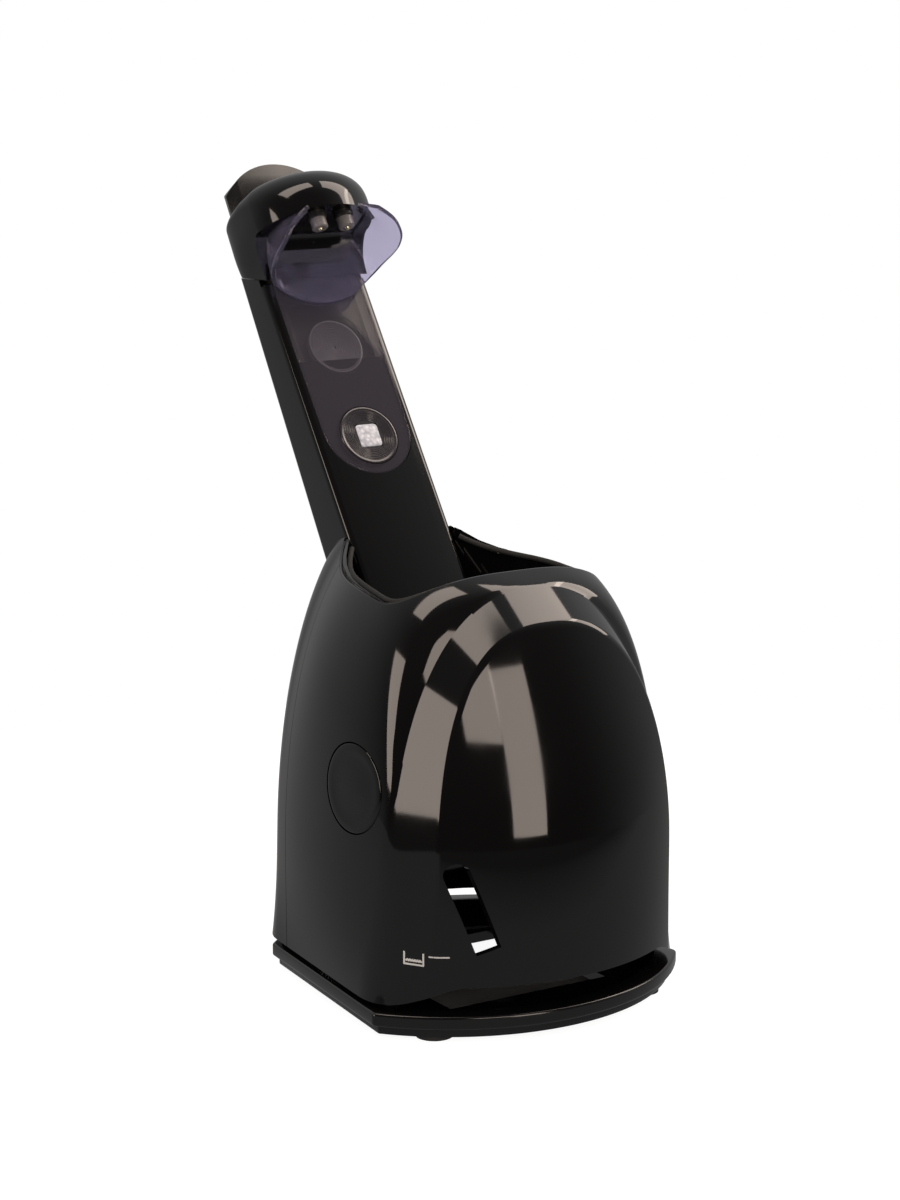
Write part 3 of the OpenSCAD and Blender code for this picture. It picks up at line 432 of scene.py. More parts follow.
def prism(outline: Sequence[tuple[float, float]], low: float, high: float) -> bmesh.types.BMesh:
    """Extrudes an outline upwards.

    Args:
        outline: Corners, anticlockwise from above.
        low: Height of the bottom.
        high: Height of the top.

    Returns:
        The closed prism.
    """
    shape = bmesh.new()
    bottom = shape.faces.new([shape.verts.new((x, y, low)) for x, y in outline])
    made = bmesh.ops.extrude_face_region(shape, geom=[bottom])
    top = [g for g in made["geom"] if isinstance(g, bmesh.types.BMVert)]
    bmesh.ops.translate(shape, vec=(0, 0, high - low), verts=top)
    bmesh.ops.recalc_face_normals(shape, faces=shape.faces)
    return shape


def rod(radius: float, low: float, high: float, sides: int = 96) -> bmesh.types.BMesh:
    """Makes a round rod along Z.

    Args:
        radius: Radius of the rod.
        low: Lowest corner or height.
        high: Highest corner or height.
        sides: Number of sides.

    Returns:
        The closed rod.
    """
    shape = bmesh.new()
    bmesh.ops.create_cone(
        shape, cap_ends=True, segments=sides, radius1=radius, radius2=radius, depth=high - low
    )
    bmesh.ops.translate(shape, vec=(0, 0, (low + high) / 2), verts=shape.verts)
    return shape


def turned(profile: Sequence[tuple[float, float]], sides: int = 128) -> bmesh.types.BMesh:
    """Turns a profile round Z.

    Args:
        profile: Radius and height, from one end on the axis to the other.
        sides: Steps of the full turn.

    Returns:
        The closed turned shape, faces outwards.
    """
    shape = bmesh.new()
    points = [shape.verts.new((r, 0, z)) for r, z in profile]
    edges = [shape.edges.new(pair) for pair in zip(points, points[1:])]
    bmesh.ops.spin(
        shape,
        geom=points + edges,
        cent=(0, 0, 0),
        axis=(0, 0, 1),
        angle=math.tau,
        steps=sides,
        use_merge=True,
    )
    bmesh.ops.remove_doubles(shape, verts=shape.verts, dist=0.0005)
    bmesh.ops.recalc_face_normals(shape, faces=shape.faces)
    return shape


def sheet(across: int, along: int, surface: Callable[[float, float], Vector]) -> bmesh.types.BMesh:
    """Lays a grid over a surface.

    Args:
        across: Steps in the first direction.
        along: Steps in the second direction.
        surface: Point for two shares from 0 to 1.

    Returns:
        The open sheet.
    """
    shape = bmesh.new()
    bmesh.ops.create_grid(shape, x_segments=across, y_segments=along, size=0.5)
    for vert in shape.verts:
        vert.co = surface(min(1.0, max(0.0, vert.co.x + 0.5)), min(1.0, max(0.0, vert.co.y + 0.5)))
    return shape


def walled(outer: bmesh.types.BMesh, inner: bmesh.types.BMesh, dist: float = 0.002) -> bmesh.types.BMesh:
    """Joins an outer and an inner sheet along their open edges.

    Args:
        outer: Outer sheet. It takes the inner sheet's faces.
        inner: Inner sheet, freed here.
        dist: Distance within which the points of one sheet are merged.

    Returns:
        The closed shell.
    """
    for skin in (outer, inner):
        bmesh.ops.remove_doubles(skin, verts=skin.verts, dist=dist)
        bmesh.ops.dissolve_degenerate(skin, edges=skin.edges, dist=dist / 4)
    keep = bpy.data.meshes.new("inner")
    inner.to_mesh(keep)
    inner.free()
    outer.from_mesh(keep)
    bpy.data.meshes.remove(keep)
    rims = [e for e in outer.edges if e.is_boundary]
    bmesh.ops.bridge_loops(outer, edges=rims)
    bmesh.ops.recalc_face_normals(outer, faces=outer.faces)
    return outer


def round_edges(
    shape: bmesh.types.BMesh, keep: Callable[[bmesh.types.BMEdge], bool], width: float, segments: int
) -> None:
    """Rounds chosen edges.

    Args:
        shape: Shape that is changed.
        keep: Says which edges are rounded.
        width: Width of the rounding.
        segments: Steps across it.
    """
    bmesh.ops.bevel(
        shape,
        geom=[e for e in shape.edges if keep(e)],
        offset=width,
        offset_type="OFFSET",
        affect="EDGES",
        segments=segments,
        profile=0.5,
        material=-1,
        clamp_overlap=True,
    )


def as_object(shape: bmesh.types.BMesh, name: str) -> bpy.types.Object:
    """Turns a shape into an object in the scene and frees the shape.

    Args:
        shape: Shape to turn into an object.
        name: Name of the object.

    Returns:
        The object.
    """
    mesh = bpy.data.meshes.new(name)
    shape.to_mesh(mesh)
    shape.free()
    piece = bpy.data.objects.new(name, mesh)
    bpy.context.scene.collection.objects.link(piece)
    return piece


def applied(piece: bpy.types.Object) -> None:
    """Replaces a piece's mesh by the result of its modifiers.

    Args:
        piece: Piece that is changed.
    """
    view = bpy.context.evaluated_depsgraph_get()
    mesh = bpy.data.meshes.new_from_object(piece.evaluated_get(view), depsgraph=view)
    piece.modifiers.clear()
    old = piece.data
    piece.data = mesh
    bpy.data.meshes.remove(old)


def cut(piece: bpy.types.Object, cutters: Sequence[bmesh.types.BMesh], operation: str = "DIFFERENCE") -> None:
    """Cuts shapes out of a piece, or keeps only what they share.

    Args:
        piece: Piece that is changed.
        cutters: Closed shapes, freed here.
        operation: Name of the boolean operation.
    """
    for shape in cutters:
        tool = as_object(shape, "cutter")
        step = piece.modifiers.new("cut", "BOOLEAN")
        step.operation = operation
        step.solver = "EXACT"
        step.object = tool
        applied(piece)
        bpy.data.objects.remove(tool)


def soften(piece: bpy.types.Object, width: float, segments: int = 3, angle: float = 35.0) -> None:
    """Rounds a piece's sharp edges.

    Args:
        piece: Piece that is changed.
        width: Width of the rounding.
        segments: Steps across it.
        angle: Edges that turn by more degrees than this are rounded.
    """
    step = piece.modifiers.new("rounding", "BEVEL")
    step.width = width
    step.segments = segments
    step.limit_method = "ANGLE"
    step.angle_limit = math.radians(angle)
    step.use_clamp_overlap = True
    step.miter_outer = "MITER_ARC"
    applied(piece)


def hand_over(
    piece: bpy.types.Object,
    finish: Finish,
    body: Body,
    nodes: Sequence[str] = (),
    place: Optional[Matrix] = None,
    angle: float = 32.0,
) -> bpy.types.Object:
    """Scales a piece to metres, dresses it and ties it to the frame.

    Args:
        piece: Piece in millimetres.
        finish: Its finish.
        body: Body that it rides on.
        nodes: CAD nodes that it stands for.
        place: Where it goes, in millimetres.
        angle: Edges that turn by more degrees than this stay crisp.

    Returns:
        The same piece.
    """
    scale = Matrix.Scale(MM, 4)
    piece.data.transform(scale @ place if place is not None else scale)
    piece.data.shade_smooth()
    piece.data.set_sharp_from_angle(angle=math.radians(angle))
    piece.data.materials.clear()
    piece.data.materials.append(finish.material())
    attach(piece, body.value)
    if nodes:
        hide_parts(*nodes)
    LOG.info("piece %s: %d faces on %s", piece.name, len(piece.data.polygons), body.value)
    return piece


def swept(points: Sequence[Vector], radius: float, name: str, closed: bool = True) -> bpy.types.Object:
    """Makes a round bead along a line of points.

    Args:
        points: Middle line of the bead.
        radius: Radius of the bead.
        name: Name of the piece.
        closed: Whether the line is a loop.

    Returns:
        The bead as a mesh object.
    """
    curve = bpy.data.curves.new(name, "CURVE")
    curve.dimensions = "3D"
    curve.bevel_depth = radius
    curve.bevel_resolution = 4
    curve.use_fill_caps = not closed
    line = curve.splines.new("POLY")
    line.points.add(len(points) - 1)
    for spot, point in zip(line.points, points):
        spot.co = (*point, 1.0)
    line.use_cyclic_u = closed
    drawn = bpy.data.objects.new(name, curve)
    bpy.context.scene.collection.objects.link(drawn)
    view = bpy.context.evaluated_depsgraph_get()
    mesh = bpy.data.meshes.new_from_object(drawn.evaluated_get(view), depsgraph=view)
    bpy.data.objects.remove(drawn)
    bpy.data.curves.remove(curve)
    piece = bpy.data.objects.new(name, mesh)
    bpy.context.scene.collection.objects.link(piece)
    return piece


def smooth_list(values: Sequence[Sequence[float]], share: float) -> list[float]:
    """Reads a list of points as one smooth line.

    Args:
        values: Points, all of the same length.
        share: Where to read, from 0 at the first point to 1 at the last.

    Returns:
        The point there.
    """
    last = len(values) - 1
    spot = min(max(share, 0.0), 1.0) * last
    i = min(int(spot), last - 1)
    t = spot - i
    a, b, c, d = (values[min(max(k, 0), last)] for k in (i - 1, i, i + 1, i + 2))
    return [
        0.5 * (2 * q + (r - p) * t + (2 * p - 5 * q + 4 * r - s) * t * t + (3 * q - p - 3 * r + s) * t**3)
        for p, q, r, s in zip(a, b, c, d)
    ]


# ---------- housing ----------


@dataclass
class Housing:
    """The domed housing with its round front panel, in two shells that meet at a seam.

    Attributes:
        foot: Height of the lower edge.
        wall: Thickness of the shells.
        corner_x: Half width of the base at its front corners.
        corner_y: Those corners' distance in front of the middle.
        front: Reach of the base to the front.
        rear: Reach of the base to the rear.
        rear_x: Half width of the base at its rear corners.
        rear_y: Those corners' distance behind the middle.
        side_x: Half width of the housing at the crease.
        crease_y: Distance of the crease in front of the middle.
        crease_top: Height of the crease.
        ridge_top: Height of the top.
        panel_x: Half width of the round panel.
        panel_top: Height of the round panel.
        seam_y: Where the two shells meet.
        close_y: Where the back starts to round in.
        bead: Radius of the rolled rim of the bowl opening.
        crease_round: Reach of the rounding that takes over from the crease at its foot.
        crease_fade: Share of the arch over which that rounding dies out.
    """

    foot: float = 11.0
    wall: float = 2.5
    corner_x: float = 59.0
    corner_y: float = 34.0
    front: float = 62.4
    rear: float = 66.0
    rear_x: float = 50.2
    rear_y: float = 45.6
    side_x: float = 52.5
    crease_y: float = 33.0
    crease_top: float = 139.0
    ridge_top: float = 154.0
    panel_x: float = 44.6
    panel_top: float = 129.0
    seam_y: float = 34.0
    close_y: float = 42.0
    bead: float = 1.3
    crease_round: float = 11.0
    crease_fade: float = 0.42
    tree: Optional[BVHTree] = field(default=None, repr=False)

    @property
    def front_r(self) -> float:
        """Radius of the base's front arc."""
        return (self.corner_x**2 + (self.front - self.corner_y) ** 2) / (2 * (self.front - self.corner_y))

    def arch(self, q: float, half: float, power: float, top: float, flare: float) -> tuple[float, float]:
        """Half width and height of an arch.

        Args:
            q: Share from the foot of the arch to its apex.
            half: Half width.
            power: How square the shoulder is.
            top: Height of the apex.
            flare: How far the foot stands out.

        Returns:
            Distance from the middle, and height.
        """
        share, shoulder = 0.2, 40.0
        turn = max(0.0, math.pi / 2 * (q - share) / (1 - share))
        if q < share:
            x, z = half, self.foot + (shoulder - self.foot) * q / share
        else:
            x = half * max(0.0, math.cos(turn)) ** (2 / power)
            z = shoulder + (top - shoulder) * math.sin(turn) ** (2 / power)
        low = max(0.0, 51 - z) / (51 - self.foot)
        return x + flare * low * low, z

    def panel_point(self, k: float, q: float, side: int, inset: float) -> Vector:
        """A point of the round front panel.

        Args:
            k: Share from the middle of the foot to the panel's edge.
            q: Share from the foot of the edge to its apex.
            side: -1 for the left half, 1 for the right.
            inset: Distance behind the outer surface.

        Returns:
            The point.
        """
        edge = self.arch(q, self.panel_x - 0.7 * inset, 2.5, self.panel_top - inset, 3)
        x, z = k * edge[0], self.foot + k * (edge[1] - self.foot)
        up = max(0.0, z - 57) / (self.panel_top - 57)
        down = max(0.0, 57 - z) / 37
        y = -self.front - 1.1 + self.front_r - math.sqrt(self.front_r**2 - x * x)
        return Vector((side * x, y + 17.5 * up**1.81 + 1.1 * down * down + inset, z))

    def side_point(self, y: float, q: float, side: int, inset: float) -> Vector:
        """A point of the upright arch at y.

        Args:
            y: Place of the arch.
            q: Share from its foot to its apex.
            side: -1 for the left half, 1 for the right.
            inset: Distance inside the outer surface.

        Returns:
            The point.
        """
        w = (y + self.crease_y) / (self.close_y + self.crease_y)
        u = min(1.0, max(0.0, y - self.close_y) / (self.rear - self.close_y))
        half = self.side_x - 3.5 * w + 4 * 4.6 * w * (1 - w)
        power = 2.25 - 0.15 * w + 3.4 * max(0.0, w) ** 0.6 * max(0.0, 1 - w) ** 1.5
        top = self.crease_top + (self.ridge_top - self.crease_top) * (1 - abs(1 - w) ** 2.6)
        slope = (self.corner_x - self.rear_x) / (self.corner_y + self.rear_y)
        flare = self.corner_x - slope * (y + self.corner_y) - 0.4 - half
        edge = self.arch(q, half - inset, power, top - inset, flare)
        narrow, low = (1 - u**2.3) ** (1 / 2.3), (1 - u**4.4) ** (1 / 4.4)
        back = 0.6 * min(1.0, max(0.0, 2 - y) / 30) - u
        z = self.foot + low * (edge[1] - self.foot)
        return Vector((side * narrow * edge[0], y + back * inset, z))

    def rows(self) -> list[tuple[str, float]]:
        """Rows of the skin, from the panel's foot over the band to the back.

        Rows stand close on both sides of the panel's edge and of the crease, which leaves each
        as a narrow rounded line.

        Returns:
            Kind and value of each row.
        """
        panel = [0.04 + 0.92 * i / 34 for i in range(35)] + [0.978, 0.985, 0.9925]
        band = [0.04, 0.08, 0.2, 0.35, 0.5, 0.65, 0.8, 0.92, 0.96]
        side = [0.006 * i for i in range(1, 4)] + [0.03 + 0.97 * (i / 70) ** 1.2 for i in range(71)]
        back = [math.sin(math.pi / 2 * i / 36) for i in range(1, 37)]
        length, depth = self.close_y + self.crease_y, self.rear - self.close_y
        return (
            [("panel", k) for k in panel]
            + [("band", t) for t in band]
            + [("side", length * t - self.crease_y) for t in side]
            + [("side", self.close_y + depth * t) for t in back]
        )

    def skin(self, inset: float) -> bmesh.types.BMesh:
        """Makes one skin of the housing: panel, band, sides and back.

        Args:
            inset: Distance inside the outer surface.

        Returns:
            The sheet, open at its foot.
        """
        rows = self.rows()

        def surface(across: float, along: float) -> Vector:
            """Point of the skin, from the left foot over the top to the right foot.

            Args:
                across: Share from one side to the other.
                along: Share from one end to the other.

            Returns:
                The point.
            """
            side = -1 if across < 0.5 else 1
            q = 1 - abs(2 * across - 1)
            kind, value = rows[round(along * (len(rows) - 1))]
            if kind == "panel":
                return self.panel_point(value, q, side, inset)
            edge = self.panel_point(1, q, side, inset)
            crease = self.side_point(-self.crease_y, q, side, inset)
            width = (crease - edge).length
            past = (value - 1) * width if kind == "band" else value + self.crease_y
            low = min(1.0, q / self.crease_fade)
            reach = self.crease_round * (1 - low * low * (3 - 2 * low))
            if reach < 0.1 or abs(past) >= reach or width < reach:
                return edge.lerp(crease, value) if kind == "band" else self.side_point(value, q, side, inset)
            share = (past + reach) / (2 * reach)
            start = crease.lerp(edge, reach / width)
            end = self.side_point(reach - self.crease_y, q, side, inset)
            return start * (1 - share) ** 2 + crease * 2 * share * (1 - share) + end * share**2

        return sheet(144, len(rows) - 1, surface)

    def opening(self, inset: float, steps: int = 96) -> list[tuple[float, float]]:
        """Outline of the bowl opening: a squared oval drawn in towards the rear.

        Args:
            inset: Distance inside the outer line or surface.
            steps: Number of points.

        Returns:
            Its points, anticlockwise from the right.
        """
        outline = []
        for i in range(steps):
            turn = math.tau * i / steps
            c, s = math.cos(turn), math.sin(turn)
            power = 2.6 if s < 0 else 1.85
            reach = (19 if s < 0 else 60) - inset
            x = math.copysign((39.5 - inset) * abs(c) ** (2 / power), c)
            outline.append((x, -6 + math.copysign(reach * abs(s) ** (2 / power), s)))
        return outline

    def over(self, x: float, y: float) -> tuple[Vector, Vector]:
        """Top of the housing over a place, and the direction that it faces."""
        spot, normal, _, _ = self.tree.ray_cast(Vector((x, y, 300)), Vector((0, 0, -1)))
        return spot, normal

    def raised_edge(self) -> bmesh.types.BMesh:
        """Shape cut out under the front, where the cartridge goes in.

        Returns:
            The closed cutter.
        """
        steps = [
            (58 - 22 * i / 12, self.foot + 7.3 * (0.5 - 0.5 * math.cos(math.pi * i / 12))) for i in range(13)
        ]
        outline = [(-58, 0), (58, 0), *steps, *[(-x, z) for x, z in reversed(steps)]]
        shape = prism(outline, 20, 80)
        bmesh.ops.rotate(shape, matrix=Matrix.Rotation(math.pi / 2, 3, "X"), verts=shape.verts)
        return shape

    def slot(self) -> bmesh.types.BMesh:
        """Leaning slot for the fluid level, round at its top.

        Returns:
            The closed cutter.
        """
        turn = Matrix.Translation((-31.3, -self.front, 33)) @ Matrix.Rotation(math.radians(-20), 4, "Y")
        outline = [(-3.75, -3), (3.75, -3), (3.75, 23.5)]
        turns = [i * math.pi / 12 for i in range(1, 12)]
        outline += [(3.75 * math.cos(a), 23.5 + 3.75 * math.sin(a)) for a in turns]
        outline.append((-3.75, 23.5))
        bar = prism(outline, -25, 15)
        bar.transform(turn @ Matrix.Rotation(math.pi / 2, 4, "X"))
        return bar

    def arm_way(self, arm: "Arm") -> bmesh.types.BMesh:
        """Space that the arm takes where it passes the shell.

        Args:
            arm: Arm that passes the shell.

        Returns:
            The closed cutter.
        """
        low = (-arm.half - 0.8, arm.front(-arm.down) - 0.8, -arm.down - 0.8)
        shape = block(low, (arm.half + 0.8, arm.back + 0.8, 78))
        shape.transform(arm.place())
        return shape

    def groove(self) -> bmesh.types.BMesh:
        """Shallow groove that marks the seam of the two shells on the outside.

        Returns:
            The closed cutter.
        """
        ring = as_object(walled(self.skin(-1.0), self.skin(0.8)), "groove")
        cut(ring, [block((-100, self.seam_y - 0.15, 0), (100, self.seam_y + 0.15, 200))], "INTERSECT")
        shape = bmesh.new()
        shape.from_mesh(ring.data)
        bpy.data.objects.remove(ring)
        return shape

    def build(self, arm: "Arm", button: "LiftButton") -> None:
        """Builds both shells, the rim, its gasket and the printed level mark.

        Args:
            arm: Arm that passes the shell.
            button: Button that sits in the shell.
        """
        outer = self.skin(0)
        bmesh.ops.remove_doubles(outer, verts=outer.verts, dist=0.002)
        bmesh.ops.recalc_face_normals(outer, faces=outer.faces)
        self.tree = BVHTree.FromBMesh(outer)
        shell = as_object(walled(outer, self.skin(self.wall)), "shell")
        mouth = prism(self.opening(-self.bead), 98, 200)
        hole = rod(button.radius + 0.05, -12, 18)
        hole.transform(button.place())
        socket = block((-10.1, self.rear - 10, 77.9), (10.1, self.rear + 10, 90.1))
        cut(shell, [mouth, self.arm_way(arm), self.raised_edge(), hole, self.slot(), socket, self.groove()])
        for name, node, low, high in (
            ("front_shell", "front_housing", -100.0, self.seam_y + 0.12),
            ("rear_shell", "rear_housing", self.seam_y + 0.14, 100.0),
        ):
            half = bpy.data.objects.new(name, shell.data.copy())
            bpy.context.scene.collection.objects.link(half)
            cut(half, [block((-100, low, 0), (100, high, 200))], "INTERSECT")
            hand_over(half, GLOSS_BLACK, Body.STATION, [node], angle=24)
        bpy.data.objects.remove(shell)
        self.rim(arm)
        self.level_mark()

    def rim(self, arm: "Arm") -> None:
        """Rolls the rim of the opening and lays the gasket line inside it.

        Args:
            arm: Arm that passes the shell.
        """
        for name, inset, drop, radius, finish in (
            ("bowl_rim", -self.bead, 0.0, self.bead, GLOSS_BLACK),
            ("bowl_gasket", 1.5, 2.4, 0.9, FOOT_RUBBER),
        ):
            line = []
            for x, y in self.opening(inset, 168):
                spot, normal = self.over(x, y)
                spot = spot - normal * radius - Vector((0, 0, drop))
                there = arm.place().inverted() @ spot
                inside = abs(there.x) < arm.half + 0.4 and there.y > arm.front(there.z) - 0.4
                line.append(None if inside else spot)
            gap = max(i for i, spot in enumerate(line) if spot is None)
            line = [spot for spot in line[gap + 1 :] + line[:gap] if spot is not None]
            bead = swept(line, radius, name, closed=False)
            hand_over(bead, finish, Body.STATION, ["bowl_seal"] if finish is FOOT_RUBBER else [])

    def level_mark(self) -> None:
        """Prints a generic level sign, a tray with a wavy surface, and a dash beside the slot."""
        right = Vector((0.8387, -0.5446, 0.0))
        inwards = Vector((0.5446, 0.8387, 0.0))
        wave = [(-2.4 + 0.4 * i, -0.9 + 0.35 * (i % 2)) for i in range(13)]
        strokes = [
            ("level_tray", (-48.5, -41.6, 27.5), [(-3, 1.7), (-3, -2), (3, -2), (3, 1.7)], 0.28),
            ("level_wave", (-48.5, -41.6, 27.5), wave, 0.3),
            ("level_dash", (-43.6, -48.6, 28.6), [(-3.1, 0), (-1, 0), (1, 0), (3.1, 0)], 0.24),
        ]
        for name, middle, points, half in strokes:
            shape = bmesh.new()
            for (x0, z0), (x1, z1) in zip(points, points[1:]):
                along = Vector((x1 - x0, z1 - z0)).normalized()
                side = Vector((-along.y, along.x)) * half
                a, b = Vector((x0, z0)) - along * half * 0.6, Vector((x1, z1)) + along * half * 0.6
                corners = []
                for spot in (a - side, b - side, b + side, a + side):
                    start = Vector(middle) + right * spot.x + Vector((0, 0, spot.y)) - inwards * 80
                    hit, normal, _, _ = self.tree.ray_cast(start, inwards)
                    corners.append(shape.verts.new(hit + normal * 0.1))
                shape.faces.new(corners)
            bmesh.ops.recalc_face_normals(shape, faces=shape.faces)
            made = bmesh.ops.extrude_face_region(shape, geom=shape.faces[:])
            top = [g for g in made["geom"] if isinstance(g, bmesh.types.BMVert)]
            bmesh.ops.translate(shape, vec=-inwards * 0.06, verts=top)
            bmesh.ops.recalc_face_normals(shape, faces=shape.faces)
            hand_over(as_object(shape, name), PRINT, Body.STATION)


@dataclass
class LiftButton:
    """Round dished button on the left side of the housing.

    Attributes:
        radius: Radius of its cap.
        x: Distance of its middle to the left.
        y: Its place from front to back.
        z: Its height.
        tilt: Degrees that its axis leans from upright.
        turn: Degrees that it is turned to the front.
    """

    radius: float = 14.5
    x: float = 53.4
    y: float = -14.5
    z: float = 76.5
    tilt: float = 78.0
    turn: float = 6.0

    def place(self) -> Matrix:
        """Places a piece on the button's axis, which points out of the housing."""
        lean = Euler((0, math.radians(-self.tilt), math.radians(self.turn)), "XYZ").to_matrix().to_4x4()
        return Matrix.Translation((-self.x, self.y, self.z)) @ lean

    def build(self, skin: BVHTree) -> None:
        """Turns the cap, lays its face flush with the housing and adds the stem behind it.

        Args:
            skin: Outer surface of the housing.
        """
        face = [(0, 0), *[(i * 0.95, 0.0) for i in range(1, 15)], (13.75, 0.0), (14.05, -0.1), (14.25, -0.4)]
        back = [(14.3, -1.2), (14.3, -4.6), (13.9, -5), (4.7, -5), (4.7, -3), (1.7, -3)]
        back += [(1.7, -14.2), (0, -14.2)]
        shape = turned(face + back)
        place = self.place()
        out = place.to_3x3() @ Vector((0, 0, 1))
        for vert in shape.verts:
            if vert.co.z < -4.9:
                continue
            level = 0.0
            start = place @ Vector((vert.co.x, vert.co.y, 0)) + out * 30
            spot, _, _, _ = skin.ray_cast(start, -out)
            if spot is not None:
                level = (place.inverted() @ spot).z
            dish = 0.45 * max(0.0, 1 - (vert.co.xy.length / 12.4) ** 4)
            vert.co.z += level - dish if vert.co.z > -4 else min(0.0, level)
        cap = as_object(shape, "lift_button_cap")
        hand_over(cap, GLOSS_BLACK, Body.LIFT_BUTTON, ["lift_button"], place, angle=40)


@dataclass
class Base:
    """Base plate: a raised rim round a floor with a window, on a set-back foot.

    Attributes:
        housing: Housing that gives the plan.
        low: Height of the underside.
        step: Height at which the rim stands out over the foot.
        top: Height of the rim.
        floor: Height of the floor inside the rim.
        rim: Width of the rim.
    """

    housing: Housing
    low: float = 1.5
    step: float = 4.5
    top: float = 9.0
    floor: float = 4.0
    rim: float = 7.0

    def plan(self, inset: float) -> list[tuple[float, float]]:
        """Outline of the base: two arcs joined by straight sides.

        Args:
            inset: Distance inside the outline.

        Returns:
            Its corners, anticlockwise from above.
        """
        h = self.housing
        rear_r = (h.rear_x**2 + (h.rear - h.rear_y) ** 2) / (2 * (h.rear - h.rear_y))
        front_x, rear_x = h.corner_x - 1.06 * inset, h.rear_x - 0.9 * inset
        points = []
        for i in range(41):
            x = front_x * (i / 20 - 1)
            points.append((x, h.front_r - h.front - math.sqrt((h.front_r - inset) ** 2 - x * x)))
        for i in range(41):
            x = rear_x * (1 - i / 20)
            points.append((x, h.rear - rear_r + math.sqrt((rear_r - inset) ** 2 - x * x)))
        return points

    def build(self) -> None:
        """Builds the plate, rounds its rim and cuts the window and the posts' holes."""
        plate = as_object(prism(self.plan(0), self.step, self.top), "base_rim")
        soften(plate, 0.9, 4, 40)
        cut(plate, [prism(self.plan(self.rim), self.floor, 20), block((-30, -34, 0), (30, 28, 20))])
        foot = as_object(prism(self.plan(2.2), self.low, self.step + 0.4), "base_foot")
        soften(foot, 0.5, 2, 40)
        wells = [block((-30, -34, 0), (30, 28, 20))]
        for x, y in ((-40, -40), (40, -40), (-28, 50), (28, 50)):
            well = rod(6.1, 0, 2.5, 48)
            bmesh.ops.translate(well, vec=(x, y, 0), verts=well.verts)
            wells.append(well)
        cut(foot, wells)
        hand_over(plate, BASE_BLACK, Body.BASE, ["base_plate"])
        hand_over(foot, BASE_BLACK, Body.BASE)


# ---------- arm ----------


